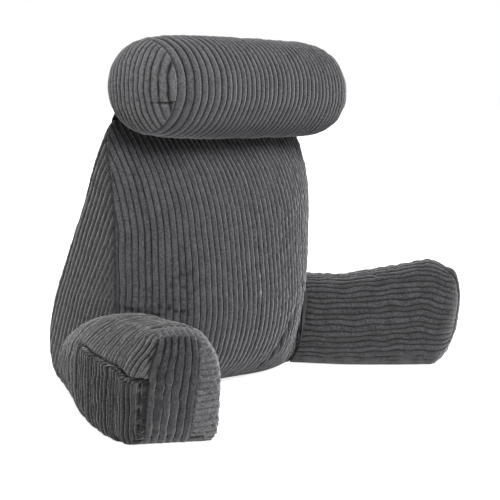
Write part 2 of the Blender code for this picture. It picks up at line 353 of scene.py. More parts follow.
# Painted groove shade is deeper on the roll's top, where the light falls from above.
ROLL_GROOVE_SHADE_TOP = 0.3         # how much wider its grooves look on top
# Painted light and shade on the roll: lighter on top, darker underneath.
ROLL_PAINTED_SHADING = 0.98
ROLL_PAINTED_LIGHT_TOP = 0.18
ROLL_TINT = 0.9
# station, share
ROLL_ROWS = (
    (-1.00, 0.900),
    (-0.90, 0.940),
    (-0.70, 0.975),
    (-0.40, 0.996),
    (0.00, 1.000),
    (0.40, 1.002),
    (0.70, 1.000),
    (0.90, 0.992),
    (1.00, 0.965),
)
DISC_RIM = 0.985
DISC_LEVELS = 54
DISC_RIBS = 0.8
DISC_STRETCH_FROM = 0.045
DISC_STRETCH = 0.22
# Painted light on the end discs.
DISC_PAINTED_LIGHT = 1.34
DISC_TINT = 0.4
# Each disc's tucks, numbered by its end: across, up, turn, half length, half width, depth.
DISC_DENTS = {-1: ((-0.072, -0.0270, 0.0, 0.020, 0.0018, 0.0040),), 1: ()}
# How dark the painted shadow in a tuck is, and at which depth it is darkest.
DISC_TUCK_SHADE = 0.2
DISC_TUCK_DEPTH = 0.003

# ---- straps ----
STRAP_OFFSET = 0.202
STRAP_WIDTH = 0.022
STRAP_THICK = 0.0020
STRAP_TOP_ANGLE = 22.0
STRAP_FOOT = 0.385
STRAP_STEPS = 14
STRAP_COLUMNS = 6
STRAP_EDGE = 0.0004
STRAP_EDGE_STEPS = 2
# name, side, leave_angle, land_height
STRAP_ROWS = (
    ("strap_left", -1, -24.0, 0.5025),
    ("strap_right", 1, -2.0, 0.4550),
)

# ---- corduroy ----
# Where the grid's columns stand across one wale, from a groove to the next.
WALE_STOPS = (0.0, 0.07, 0.18, 0.40, 0.60, 0.82, 0.93)
WALE_LEVEL = 0.6              # the share of the wale's height that lies on the solid's surface
# How much a wale's height differs from its neighbours', and along it in swells of a size.
EACH_WALE = 0.10
EACH_OTHER = 0.06
ALONG_WALE = 0.10
WALE_SWELL = 0.05
WALE_APART = 0.011            # how far apart two wales lie in the field those swells come from
SEAM_WIDTH = 0.0030
ROUND_SEAM_WIDTH = 0.0020
# Painted shade left in a seam where the ribs fade into it, as a share of the way from the groove
# colour to the ribs'.
SEAM_SHADE = 0.45
# Distances from a seam, and heights off the floor, over which the ribs and the seams rise.
SEAM_FADE = (0.0002, 0.0030)
ARM_SEAM_FADE = (0.0004, 0.0045)
FOOT_FADE = (0.0005, 0.008)
ARM_FOOT_FADE = (0.0, 0.006)
BACK_SEAM_FOOT = (0.0, 0.02)
ARM_SEAM_FOOT = (0.002, 0.014)
DRIFT_WAVES = 5
STITCH_SMOOTHING = 3          # passes that even out the points along a stitched ring
# Gaps that keep the covers and the straps clear of each other, past the ribs' own height.
ROLL_GAP = 0.0008
ROOT_GAP = 0.0004
STRAP_GAP = 0.0006
# Uneven sways of ribs and cloth: strength, size of a swell, what sets it apart from others, and
# how much closer its swells stand along the first of its two directions.
FRONT_SWAY = (0.0005, 0.20, 1.0, 1.0)
GUSSET_SWAY = (0.0007, 0.15, 5.0, 1.0)
BACK_LUMPS = (0.0005, 0.014, 4.0, 1.0)
CRUMPLE_FOLDS = (0.0018, 0.011, 7.7, 1.7)
PRESSED_CREASES = (1.0, 0.012, 9.1, 0.25)
INNER_SWAY = (0.0016, 0.09, 1.3, 1.0)
OUTER_SWAY = (0.0012, 0.10, 4.4, 1.0)
CAP_SWAY = (0.05, 0.06, 0.7, 1.0)
GATHER_SWAY = (1.0, 0.034, 2.1, 1.0)
STRIP_PUCKERS = (0.0005, 0.018, 3.3, 1.3)
WORN_PUCKERS = (0.0009, 0.015, 5.2, 1.4)
ARM_LUMPS = (0.0003, 0.013, 6.1, 1.1)
ROLL_SWAY = (0.0006, 0.13, 1.1, 1.0)
ROLL_SWELLS = (0.006, 0.16, 2.2, 1.0)
ROLL_LUMPS = (0.0002, 0.013, 5.3, 1.0)
DISC_SWAY = {-1: (0.05, 0.07, 0.9, 1.0), 1: (0.05, 0.07, 2.9, 1.0)}
# What sets the panels' uneven ribs apart, and how far the backrest's panels are set apart.
BACK_RIBS = 2.0
PANEL_SHIFT = 0.3
ARM_PILE = (0.5, 1.5, 2.5)    # on the inner panel, the outer side and the cap
ROLL_PILE = 3.0
DISC_PILE = 4.0
# Samples of the curves that are measured before points are laid along them.
BACK_SAMPLES = 2001
PANEL_SAMPLES = 241
LINE_SAMPLES = 400
SECTION_SAMPLES = 1441
DOME_SAMPLES = 400
WALL_SAMPLES = 200

# ---- studio ----
LIGHT_DISTANCE = 3.0
FLOOR_SIDES = 96
FLOOR_GAP = 0.0004
SENSOR_WIDTH = 36.0


# ==== Numbers and curves ====
def read_table(rows, at):
    """The columns of a table at places along its first column, on a smooth curve through it."""
    table = np.asarray(rows, float)
    last = len(table) - 1
    at = np.clip(at, table[0, 0], table[last, 0])
    index = np.clip(np.searchsorted(table[:, 0], at, side="right") - 1, 0, last - 1)
    here = table[index]
    after = table[index + 1]
    before = table[np.maximum(index - 1, 0)]
    beyond = table[np.minimum(index + 2, last)]
    span = (after - here)[..., :1]
    t = (at[..., None] - here[..., :1]) / span
    slope_here = (after - before) / (after - before)[..., :1]
    slope_after = (beyond - here) / (beyond - here)[..., :1]
    value = (
        (2 * t ** 3 - 3 * t ** 2 + 1) * here
        + (t ** 3 - 2 * t ** 2 + t) * span * slope_here
        + (3 * t ** 2 - 2 * t ** 3) * after
        + (t ** 3 - t ** 2) * span * slope_after
    )
    return np.moveaxis(value[..., 1:], -1, 0)


def power(value, exponent):
    """A power that keeps the value's sign."""
    return np.sign(value) * np.abs(value) ** exponent


def ease(value, low, high):
    """0 below low, 1 above high, and a smooth rise between them."""
    t = np.clip((value - low) / (high - low), 0.0, 1.0)
    return t * t * (3 - 2 * t)


def bump(value, width):
    """1 where the value is 0, falling away on both sides."""
    return np.exp(-(value / width) ** 2)


def drift(a, b, size, seed):
    """A smooth uneven field, about -1 to 1, with swells about one size across."""
    total = 0.0
    for k in range(DRIFT_WAVES):
        angle = 2.4 * k + seed
        pace = (1 + 0.37 * k) * 2 * math.pi / size
        total = total + np.sin((a * math.cos(angle) + b * math.sin(angle)) * pace + 1.7 * seed * k)
    return total / math.sqrt(DRIFT_WAVES)


def sway(a, b, kind):
    """The uneven field of a given kind at places."""
    strength, size, seed, squeeze = kind
    return strength * drift(squeeze * a, b, size, seed)


def run(steps):
    """Distance run up to each of a row of places, from the steps between them."""
    return np.concatenate([[0.0], np.cumsum(steps)])


def spread(*coordinates):
    """Points from coordinates that share one grid."""
    return np.stack(np.broadcast_arrays(*coordinates), axis=-1)


def wale_columns(low, high):
    """Places of the grid's columns between two places, all counted in wales."""
    whole = np.arange(math.floor(low), math.ceil(high) + 1)
    places = (whole[:, None] + np.array(WALE_STOPS)[None, :]).ravel()
    places = places[(places > low + 0.02) & (places < high - 0.02)]
    return np.concatenate([[low], places, [high]])


def wale(phase, roundness):
    """Height across a wale: 0 in the grooves, where the phase is whole, and 1 along its middle."""
    from_groove = 2 * np.abs(phase - np.round(phase))
    return 1 - (1 - from_groove) ** roundness


def uneven_wale(phase, along, roundness, seed):
    """A wale whose height differs a little from its neighbours' and along its length."""
    number = np.floor(phase)
    each = 1 + EACH_WALE * np.sin(2.39 * number + seed) + EACH_OTHER * np.sin(5.1 * number)
    swell = 1 + ALONG_WALE * drift(along, number * WALE_APART, WALE_SWELL, seed)
    return wale(phase, roundness) * each * swell


def press(across, up, dents):
    """Height of the dimples and gathers of a table at places on a panel."""
    height = np.zeros(np.broadcast(across, up).shape)
    for place_across, place_up, turn, length, width, depth in dents:
        cos = math.cos(math.radians(turn))
        sin = math.sin(math.radians(turn))
        a = (across - place_across) * cos + (up - place_up) * sin
        b = (up - place_up) * cos - (across - place_across) * sin
        height -= depth * np.exp(-(a / length) ** 2 - (b / width) ** 2)
    return height


def grid_normals(points, round_grid):
    """Outward normals of a grid of points, rows by columns, whose columns may close in a ring."""
    if round_grid:
        padded = np.concatenate([points[:, -1:], points, points[:, :1]], axis=1)
        across = padded[:, 2:] - padded[:, :-2]
    else:
        across = np.gradient(points, axis=1)
    along = np.gradient(points, axis=0)
    normals = np.cross(across, along)
    length = np.linalg.norm(normals, axis=2, keepdims=True)
    return normals / np.maximum(length, 1e-12)


def turned_out(normals, outward):
    """Normals, turned round where they don't point outward."""
    return normals * np.sign((normals * outward).sum(-1))[..., None]


def rim(grid):
    """The outermost values of a grid, in order round it."""
    return np.concatenate([grid[0, :-1], grid[:-1, -1], grid[-1, :0:-1], grid[:0:-1, 0]])


def round_place(across, up):
    """How far round their middle places lie, as a share of the whole way."""
    return (np.arctan2(up, across) / (2 * math.pi)) % 1.0


# ==== Covers ====
def shaded(pile, fade):
    """The wale's height as the material sees it, which sets the painted groove shade: half way up
    where the ribs fade into a seam.
    """
    return pile * fade + SEAM_SHADE * (1 - fade)


class Cover:
    """One closed cover in the making: its points, the values they carry, and its faces."""

    def __init__(self):
        self.points = []
        self.values = {"pile": [], "tint": [], "nap": []}
        self.quads = []
        self.triangles = []
        self.wide_faces = []
        self.stitched = []
        self.count = 0

    def add_grid(self, points, pile, tint, nap, round_grid):
        """Add a grid of points and its faces, and return the grid of their numbers."""
        rows, columns = points.shape[:2]
        numbers = np.arange(rows * columns).reshape(rows, columns) + self.count
        self.count += rows * columns
        self.points.append(points.reshape(-1, 3))
        for label, values in (("pile", pile), ("tint", tint), ("nap", nap)):
            self.values[label].append(np.broadcast_to(values, (rows, columns)).ravel())
        wrapped = np.concatenate([numbers, numbers[:, :1]], axis=1) if round_grid else numbers
        quads = np.stack(
            [wrapped[:-1, :-1], wrapped[:-1, 1:], wrapped[1:, 1:], wrapped[1:, :-1]], axis=-1
        )
        self.quads.append(quads.reshape(-1, 4))
        return numbers

    def close(self, ring):
        """Close a flat ring with one wide face."""
        self.wide_faces.append([int(number) for number in ring])

    def stitch(self, outer, outer_place, inner, inner_place):
        """Join two rings with triangles. A place is a point's share of the way round, 0 to 1."""
        outer, outer_place = in_order(outer, outer_place)
        inner, inner_place = in_order(inner, inner_place)
        self.stitched += [*outer, *inner]
        i = 0
        j = 0
        while i < len(outer) or j < len(inner):
            next_outer = outer_place[i + 1] if i + 1 < len(outer) else outer_place[0] + 1
            next_inner = inner_place[j + 1] if j + 1 < len(inner) else inner_place[0] + 1
            here = outer[i % len(outer)]
            there = inner[j % len(inner)]
            if j >= len(inner) or (i < len(outer) and next_outer <= next_inner):
                i += 1
                self.triangles.append((here, outer[i % len(outer)], there))
            else:
                j += 1
                self.triangles.append((here, inner[j % len(inner)], there))

    def build(self, name, material):
        """Make the object, with all its faces pointing out."""
        points = np.concatenate(self.points)
        faces = [tuple(quad) for quad in np.concatenate(self.quads).tolist()]
        faces += [tuple(int(number) for number in face) for face in self.triangles]
        faces += [tuple(face) for face in self.wide_faces]
        mesh = bpy.data.meshes.new(name)
        mesh.from_pydata(points.tolist(), [], faces)
        for label, values in self.values.items():
            layer = mesh.attributes.new(label, "FLOAT", "POINT")
            layer.data.foreach_set("value", np.concatenate(values).astype(np.float32))
        bm = bmesh.new()
        bm.from_mesh(mesh)
        bmesh.ops.recalc_face_normals(bm, faces=bm.faces)
        if bm.calc_volume(signed=True) < 0:
            bmesh.ops.reverse_faces(bm, faces=bm.faces)
        bm.verts.ensure_lookup_table()
        edge = [bm.verts[int(number)] for number in self.stitched]
        for _ in range(STITCH_SMOOTHING):
            bmesh.ops.smooth_vert(
                bm, verts=edge, factor=0.5, use_axis_x=True, use_axis_y=True, use_axis_z=True
            )
        bm.to_mesh(mesh)
        bm.free()
        mesh.shade_smooth()
        mesh.materials.append(material)
        return new_piece(name, mesh)


def new_piece(name, data):
    """A new object in the scene."""
    piece = bpy.data.objects.new(name, data)
    bpy.context.scene.collection.objects.link(piece)
    return piece


def in_order(ring, place):
    """A ring's points sorted by their places."""
    order = np.argsort(place, kind="stable")
    return np.asarray(ring)[order], np.asarray(place)[order]


def crest_height(settings):
    """How far the ribs' crests stand out of the solid's surface."""
    return settings.wale_depth * (1 - WALE_LEVEL)


def sew(cover, node, settings):
    """Make the corduroy cover of a solid."""
    return cover.build(node + "_cover", shared_material("plush_corduroy", make_corduroy, settings))


def finish_cushion(piece, node):
    """Let a finished cushion ride on the frame in place of its solid."""
    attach(piece, BODY)
    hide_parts(node)


# ==== Materials ====
def new_material(name, roughness, specular):
    """A new material, its node tree and its shader."""
    material = bpy.data.materials.new(name)
    material.use_nodes = True
    shader = material.node_tree.nodes["Principled BSDF"]
    shader.inputs["Roughness"].default_value = roughness
    shader.inputs["Specular IOR Level"].default_value = specular
    return material, material.node_tree, shader


def new_node(tree, kind, **inputs):
    """A shader node with the given values in its inputs."""
    node = tree.nodes.new("ShaderNode" + kind)
    for name, value in inputs.items():
        node.inputs[name.replace("_", " ")].default_value = value
    return node


def carried(tree, name):
    """A value that the cover's points carry."""
    node = new_node(tree, "Attribute")
    node.attribute_name = name
    return node.outputs["Fac"]


def object_place(tree):
    """Places in the piece's own frame."""
    return new_node(tree, "TexCoord").outputs["Object"]


def noise(tree, scale, detail, roughness):
    """An even noise over the cloth."""
    node = new_node(tree, "TexNoise", Scale=scale, Detail=detail, Roughness=roughness)
    tree.links.new(object_place(tree), node.inputs["Vector"])
    return node.outputs["Fac"]


def about_one(tree, value, amount):
    """A noise's middle range, drawn out to an amount below and above 1."""
    node = new_node(
        tree, "MapRange", From_Min=0.3, From_Max=0.7, To_Min=1 - amount, To_Max=1 + amount
    )
    tree.links.new(value, node.inputs["Value"])
    return node.outputs["Result"]


def product(tree, first, second):
    """The product of two values."""
    node = new_node(tree, "Math")
    node.operation = "MULTIPLY"
    tree.links.new(first, node.inputs[0])
    tree.links.new(second, node.inputs[1])
    return node.outputs["Value"]


def blend(tree, value, low, high):
    """A colour between two others, each given with the value that it stands at."""
    node = new_node(tree, "ValToRGB")
    for element, (position, colour) in zip(node.color_ramp.elements, (low, high)):
        element.position = position
        element.color = (*colour, 1.0)
    tree.links.new(value, node.inputs["Fac"])
    return node.outputs["Color"]


def roughen(tree, shader, height, strength, distance):
    """Fine relief on a material's surface."""
    node = new_node(tree, "Bump", Strength=strength, Distance=distance)
    tree.links.new(height, node.inputs["Height"])
    tree.links.new(node.outputs["Normal"], shader.inputs["Normal"])


def times(colour, share):
    """A colour darkened or lightened by a factor."""
    return [channel * share for channel in colour]


def make_corduroy(settings):
    """Plush corduroy: painted shade in the grooves, lighter on the ribs, mottled at random, and
    lighter or darker by panel with painted light and shade.
    """
    material, tree, shader = new_material("plush_corduroy", roughness=0.95, specular=0.1)
    shader.inputs["Sheen Weight"].default_value = settings.sheen
    shader.inputs["Sheen Roughness"].default_value = settings.sheen_roughness
    shader.inputs["Sheen Tint"].default_value = (0.98, 0.98, 1.0, 1.0)
    # The groove colour is painted shade, blended into the ribs' colour by the carried wale height.
    painted_groove_shade = times(settings.colour, 0.10)
    depth = blend(tree, carried(tree, "pile"), (0.22, painted_groove_shade), (0.80, settings.colour))
    mottle = noise(tree, scale=300.0, detail=3.0, roughness=0.7)
    brushed = noise(tree, scale=38.0, detail=2.0, roughness=0.5)
    tufts = noise(tree, scale=420.0, detail=2.0, roughness=0.6)
    fine = about_one(tree, mottle, amount=0.68)
    broad = about_one(tree, brushed, amount=0.12)
    # Random mottle times the painted light and shade that each point carries.
    grain_and_painted_shading = product(tree, product(tree, fine, broad), carried(tree, "nap"))

    warm = new_node(tree, "Mix")
    warm.data_type = "RGBA"
    warm.blend_type = "MULTIPLY"
    warm.inputs["B"].default_value = (1.0, 0.985, 1.09, 1.0)
    tree.links.new(carried(tree, "tint"), warm.inputs["Factor"])
    tree.links.new(depth, warm.inputs["A"])
    scaled = new_node(tree, "VectorMath")
    scaled.operation = "SCALE"
    tree.links.new(warm.outputs["Result"], scaled.inputs[0])
    tree.links.new(grain_and_painted_shading, scaled.inputs["Scale"])
    tree.links.new(scaled.outputs["Vector"], shader.inputs["Base Color"])
    roughen(tree, shader, tufts, strength=0.75, distance=0.0014)
    return material


def make_webbing(settings):
    """Flat black webbing with a fine diagonal weave across its own width."""
    material, tree, shader = new_material("twill_webbing", roughness=0.8, specular=0.3)
    twill = new_node(tree, "TexWave", Scale=900.0, Distortion=0.4)
    twill.bands_direction = "DIAGONAL"
    tree.links.new(object_place(tree), twill.inputs["Vector"])
    weave = twill.outputs["Fac"]
    shadow = times(settings.webbing_colour, 0.5)
    yarn = times(settings.webbing_colour, 1.5)
    tree.links.new(blend(tree, weave, (0.0, shadow), (1.0, yarn)), shader.inputs["Base Color"])
    roughen(tree, shader, weave, strength=0.5, distance=0.0004)
    return material


def shared_material(name, maker, settings):
    """The material of a name, made when it is first asked for."""
    return bpy.data.materials.get(name) or maker(settings)


# ==== Neck roll shape, which the backrest is dented by ====
def roll_frame():
    """Where the roll lies: its own X runs along it."""
    yaw = Matrix.Rotation(math.radians(ROLL_YAW), 4, "Z")
    drop = Matrix.Rotation(math.radians(ROLL_DROP), 4, "Y")
    return Matrix.Translation(ROLL_CENTRE) @ yaw @ drop


def dome_profile():
    """A domed end from its middle to its seam: share of the arc, radius, stand-out; arc length."""
    angle = np.linspace(math.pi / 2, 0.0, DOME_SAMPLES)
    radius = np.maximum(np.cos(angle), 0.0) ** ROLL_DOME_ROUND
    out = np.sin(angle)
    arc = run(np.hypot(np.diff(radius) * ROLL_RADIUS, np.diff(out) * ROLL_DOME))
    return arc / arc[-1], radius, out, arc[-1]


def roll_radius(along):
    """Radius of the roll at places along it, over the domed ends too."""
    body = read_table(ROLL_ROWS, np.clip(along / ROLL_HALF, -1, 1))[0] * ROLL_RADIUS
    past = np.clip((np.abs(along) - ROLL_HALF) / ROLL_DOME, 0.0, 1.0)
    return body * np.sqrt(1 - past ** 2) ** ROLL_DOME_ROUND


def move(points, matrix):
    """Points turned and shifted by a matrix."""
    turn = np.array(matrix.to_3x3())
    return points @ turn.T + np.array(matrix.translation)


def clear_of_roll(points, gap):
    """Push points that lie inside the roll out to its surface."""
    frame_matrix = roll_frame()
    local = move(points, frame_matrix.inverted())
    away = np.hypot(local[..., 1], local[..., 2])
    wanted = roll_radius(local[..., 0]) + gap
    reach = np.abs(local[..., 0]) < ROLL_HALF + ROLL_DOME
    scale = np.where(reach & (away < wanted), wanted / np.maximum(away, 1e-6), 1.0)
    local[..., 1:] *= scale[..., None]
    return move(local, frame_matrix)


# ==== Backrest ====
def back_levels():
    """Heights of the backrest's rings, evenly spaced along the curve of the front panel."""
    fine = np.linspace(0.0, BACK_HEIGHT, BACK_SAMPLES)
    table = read_table(BACK_ROWS, fine)
    slope = np.gradient(table[1] - table[2], fine)
    path = run(np.hypot(1, slope[1:]) * np.diff(fine))
    return np.interp(np.linspace(0, path[-1], BACK_LEVELS), path, fine)


def side_columns(half, crown, fullness, pitch, shift, margin_columns, widest):
    """Places from a panel's middle to its seam, and how far round the panel each lies.

    The inner places stand at whole shares of a wale, as the cloth lies over the swell. Where the
    swell is longer than the widest cloth, the wales near the seam are stretched.
    """
    share = np.linspace(0, 1, PANEL_SAMPLES)
    x = half * share
    around = run(np.hypot(np.diff(x), crown * np.diff(share ** fullness)))
    missing = max(around[-1] - widest, 0.0)
    around = around - missing * ease(around / around[-1], 0.4, 1.0)
    inner = wale_columns(0, INNER_WALES) * pitch + shift
    edge = inner[-1] + (around[-1] - inner[-1]) * np.arange(1, margin_columns + 1) / margin_columns
    place = np.concatenate([inner, edge])
    return np.interp(place, around, x), place


def panel_columns(half, crown, right_fullness, pitch, shift, margin_columns):
    """Places across a front or rear panel for each level, and how far round it each lies."""
    rows = []
    for level in range(len(half)):
        left = side_columns(
            half[level], crown[level], PANEL_FULLNESS, pitch, -shift, margin_columns, LEFT_CLOTH
        )
        right = side_columns(
            half[level], crown[level], right_fullness[level], pitch, shift, margin_columns, 1.0
        )
        rows.append([np.concatenate([-a[:0:-1], b]) for a, b in zip(left, right)])
    across, around = np.moveaxis(np.array(rows), 1, 0)
    return across, around


def swell(across, half, right_fullness):
    """Share of a panel's crown at places across it."""
    fullness = np.where(across > 0, right_fullness, PANEL_FULLNESS)
    return 1 - np.minimum(np.abs(across / half), 1.0) ** fullness


def in_ring(front, side, rear):
    """Values on the backrest's panels, in order round it: front, right side, rear, left side."""
    return np.concatenate([front, side, rear[:, ::-1], side[:, ::-1]], axis=1)


def side_wales(up, y, deep):
    """How far the side panels' wales lie from the slanted rear edge, which they run along."""
    from_edge = (GUSSET_EDGE - GUSSET_SLOPE * up - y) * math.cos(math.atan(GUSSET_SLOPE))
    from_edge = from_edge + sway(y, up, GUSSET_SWAY)
    fan, fan_top, fan_reach = SIDE_FAN
    below_top = np.clip(fan_top - up, 0.0, fan_reach)
    return from_edge + fan * below_top ** 2 / fan_reach * (1 - deep)


def back_rings(pitch):
    """The backrest's rings of points, their place across the wales, distance from the seams, and
    panel, numbered 0 to 3 from the front round to the left side."""
    level = back_levels()
    half, seam, crown, rear, rear_crown, side_crown = read_table(BACK_ROWS, level)
    slack = 1 - ease(level, *RIGHT_SLACK)
    tight = PANEL_FULLNESS - (PANEL_FULLNESS - RIGHT_FULLNESS) * slack
    plain = 0 * level + PANEL_FULLNESS
    across, around = panel_columns(half, crown, tight, pitch, MIDDLE_SHIFT, FRONT_MARGIN)
    rear_across, rear_around = panel_columns(half, rear_crown, plain, pitch, 0.0, REAR_MARGIN)

    up, half, seam, rear = (values[:, None] for values in (level, half, seam, rear))
    deep = (np.arange(1, GUSSET_COLUMNS) / GUSSET_COLUMNS)[None, :]
    front_y = seam - crown[:, None] * swell(across, half, tight[:, None])
    side_x = half + side_crown[:, None] * 4 * deep * (1 - deep)
    side_y = seam + (rear - seam) * deep
    rear_y = rear + rear_crown[:, None] * swell(rear_across, half, PANEL_FULLNESS)
    points = in_ring(
        spread(across, front_y, up), spread(side_x, side_y, up), spread(rear_across, rear_y, up)
    )
    counts = (across.shape[1], side_x.shape[1], rear_across.shape[1], side_x.shape[1])
    panel = np.repeat(np.arange(4), counts)[None, :]
    points[..., 0] *= np.where(panel == 3, -1.0, 1.0)
    phase = in_ring(
        (around - MIDDLE_SHIFT + sway(across, up, FRONT_SWAY)) / pitch,
        side_wales(up, side_y, deep) / pitch,
        rear_around / pitch,
    )
    edge = in_ring(
        half - np.abs(across),
        np.minimum(side_y - seam, rear - side_y),
        half - np.abs(rear_across),
    )
    return points, phase, edge, panel


def pressed_flat(x, up):
    """How far the front's pile is pressed flat at each place, in creases."""
    place_across, place_up, half_width, half_height = PRESSED
    pressed = bump(x - place_across, half_width) * bump(up - place_up, half_height)
    return pressed * np.clip(sway(x, up, PRESSED_CREASES), 0.0, 1.0)


def back_relief(settings, ring, phase, edge, panel):
    """Height of the relief over the backrest, and the pile's height with painted shade in its
    grooves, tucks and creases.
    """
    x = ring[..., 0]
    up = ring[..., 2]
    is_front = panel == 0
    pile = uneven_wale(phase, up + PANEL_SHIFT * panel, settings.wale_roundness, BACK_RIBS)
    low, high, lower = LOW_RIBS
    front_ribs = 1 - lower * is_front * (1 - ease(up, low, high))
    fade = ease(edge, *SEAM_FADE) * ease(up, *FOOT_FADE)
    fade = fade * np.where(panel % 2 == 1, SIDE_RIBS, front_ribs)
    relief = settings.wale_depth * (pile - WALE_LEVEL) * fade
    relief -= settings.seam_depth * bump(edge, SEAM_WIDTH) * ease(up, *BACK_SEAM_FOOT)
    relief += sway(x + ring[..., 1], up, BACK_LUMPS) * fade

    tucks = press(x, up, FRONT_TUCKS) * is_front
    middle, reach = CRUMPLE
    near_arm = is_front * ease(np.abs(x), *CRUMPLE_ACROSS) * bump(up - middle, reach)
    pressed = pressed_flat(x, up) * is_front
    relief += press(x, up, FRONT_DENTS) * is_front
    relief += tucks
    relief += near_arm * sway(up, x, CRUMPLE_FOLDS)
    relief -= PRESSED_DEPTH * pressed
    # Painted shadow in the tucks and painted shade in the pressed creases.
    pile = shaded(pile, fade) * np.clip(1 + tucks / TUCK_DEPTH, TUCK_SHADE, 1.0)
    return relief, pile * (1 - PRESSED_SHADE * pressed)


def back_painted_shading(up, panel):
    """Painted light and shade on each of the backrest's panels, with painted shade under the roll,
    near the floor and atop the sides.
    """
    roll_low, roll_high, roll_share = PAINTED_SHADE_UNDER_ROLL
    foot_low, foot_high, foot_share = PAINTED_SHADE_NEAR_FLOOR
    side_low, side_high, side_share = PAINTED_SHADE_SIDE_TOP
    front = FRONT_PAINTED_SHADING * (1 - roll_share * ease(up, roll_low, roll_high))
    front = front * (1 - foot_share * (1 - ease(up, foot_low, foot_high)))
    side = SIDE_PAINTED_SHADING * (1 - side_share * ease(up, side_low, side_high))
    return np.where(panel % 2 == 1, side, np.where(panel == 0, front, REAR_PAINTED_SHADING))


def foot_lift(points):
    """How far the front's bottom edge is raised off the floor at each place."""
    x = points[..., 0]
    reach = ease(x, *FOOT_LIFT_LEFT) * (1 - ease(x, *FOOT_LIFT_RIGHT))
    return FOOT_LIFT * reach * np.clip(1 - points[..., 2] / FOOT_LIFT_HEIGHT, 0, 1) ** 2


def underside(lowest, is_front):
    """A flat ring inside the lowest one, set back under the front."""
    ring = lowest * np.array([FOOT_NARROWING, 1.0, 0.0]) + np.array([0.0, 0.0, FLOOR])
    ring[:, 1] += np.where(is_front, FOOT_SET_BACK, -FOOT_SET_IN)
    ring[:, 1] = np.minimum(ring[:, 1], lowest[:, 1].max() - FOOT_REAR)
    return ring


def build_backrest(settings):
    """The wedge: front, rear and two side panels, dented where the neck roll lies."""
    ring, phase, edge, panel = back_rings(settings.wale_pitch)
    is_front = panel == 0
    relief, pile = back_relief(settings, ring, phase, edge, panel)
    points = ring + grid_normals(ring, True) * relief[..., None]
    points = clear_of_roll(points, crest_height(settings) + ROLL_GAP)
    points[..., 2] = np.maximum(points[..., 2], FLOOR)
    points[0, :, 2] = FLOOR
    points[..., 2] += foot_lift(points) * is_front

    nap = back_painted_shading(ring[..., 2], panel)
    points = np.concatenate([underside(points[0], is_front[0])[None], points])
    pile = np.concatenate([pile[:1], pile])
    nap = np.concatenate([nap[:1], nap])
    cover = Cover()
    numbers = cover.add_grid(points, pile, np.where(is_front, FRONT_TINT, OTHER_TINT), nap, True)
    cover.close(numbers[0][::-1])
    cover.close(numbers[-1])
    finish_cushion(sew(cover, "backrest", settings), "backrest")


# ==== Arms ====
def arm_line(rows, station, length_table):
    """Middle, direction, half width, height and lean at stations along an arm."""
    reach = np.interp(station, length_table[1], length_table[0])
    x, y, half, height = read_table(rows, reach)
    ahead = read_table(rows, reach + SLOPE_STEP)
    behind = read_table(rows, reach - SLOPE_STEP)
    along = np.stack([ahead[0] - behind[0], ahead[1] - behind[1]], -1)
    along /= np.linalg.norm(along, axis=-1, keepdims=True)
    return np.stack([x, y], -1), along, half, height, END_LEAN * reach ** LEAN_EASE


def arm_length(rows):
    """Reach along an arm, and the length of its middle line up to there."""
    reach = np.linspace(0, 1, LINE_SAMPLES)
    x, y = read_table(rows, reach)[:2]
    return reach, run(np.hypot(np.diff(x), np.diff(y)))


def section(angle, half, height, foot_fullness):
    """Inward and upward places of an arm's section at angles up from its inner side, in degrees."""
    inward = np.cos(np.radians(angle))
    upward = np.sin(np.radians(angle))
    top_fullness = np.where(inward > 0, INNER_FULLNESS, OUTER_FULLNESS)
    fullness = np.where(upward >= 0, top_fullness, foot_fullness)
    waist = ARM_WAIST * height
    rise = np.where(upward >= 0, height - waist, waist + ARM_FOOT)
    side = power(inward, 2 / fullness) * half
    level = waist + power(upward, 2 / fullness) * rise
    return side, np.maximum(level, 0.0)


def section_columns(name, half, height, foot_fullness, pitch):
    """Places round one section, from the top seam down the inner side and back over the top.

    Returns inward and upward places, the distance from the top seam, and the zone of each.
    """
    top_seam = TOP_SEAM[name]
    angle = np.linspace(top_seam, top_seam - 360, SECTION_SAMPLES)
    side, level = section(angle, half, height, foot_fullness)
    arc = run(np.hypot(np.diff(side), np.diff(level)))
    turned = top_seam - angle
    corners = [
        np.interp((top_seam - corner) % 360, turned, arc)
        for corner in (FOOT_INNER, FOOT_OUTER, DART_LOW, TOP_OUTER)
    ]
    stretch = corners[0] / INNER_DROP[name]
    inner = wale_columns(0, ARM_INNER_WALES[name]) * pitch * stretch
    places = [inner]
    for stop, count in zip((*corners, arc[-1]), ARM_COLUMNS[name]):
        places.append(np.linspace(places[-1][-1], stop, count)[1:])
    places[-1] = places[-1][:-1]
    place = np.concatenate(places)
    zone = np.repeat([0, 0, 1, 2, 2, 2], [len(part) for part in places])
    from_seam = np.where(zone == 2, place - arc[-1], place / stretch)
    return np.interp(place, arc, side), np.interp(place, arc, level), from_seam, zone


def ring_widths(name, half, height, shrink, side):
    """Top and foot of an arm's ring at places across it."""
    waist = ARM_WAIST * height
    foot_fullness = FOOT_FULLNESS[name][1]
    share = np.abs(side / (half * shrink))
    fullness = np.where(side > 0, INNER_FULLNESS, OUTER_FULLNESS)
    top = waist + shrink * (height - waist) * (1 - share ** fullness) ** (1 / fullness)
    drop = (waist + ARM_FOOT) * (1 - share ** foot_fullness) ** (1 / foot_fullness)
    return top, waist - shrink * np.minimum(drop, waist)


def end_share(name, side, level, half, height):
    """How far places on the end lie from its middle, as a share of the way to its rim."""
    waist = ARM_WAIST * height
    top_fullness = np.where(side > 0, INNER_FULLNESS, OUTER_FULLNESS)
    fullness = np.where(level >= waist, top_fullness, FOOT_FULLNESS[name][1])
    rise = np.where(level >= waist, height - waist, waist + ARM_FOOT)
    share = np.abs(side / half) ** fullness + np.abs((level - waist) / rise) ** fullness
    return np.maximum(share ** (1 / fullness), (waist - level) / waist)


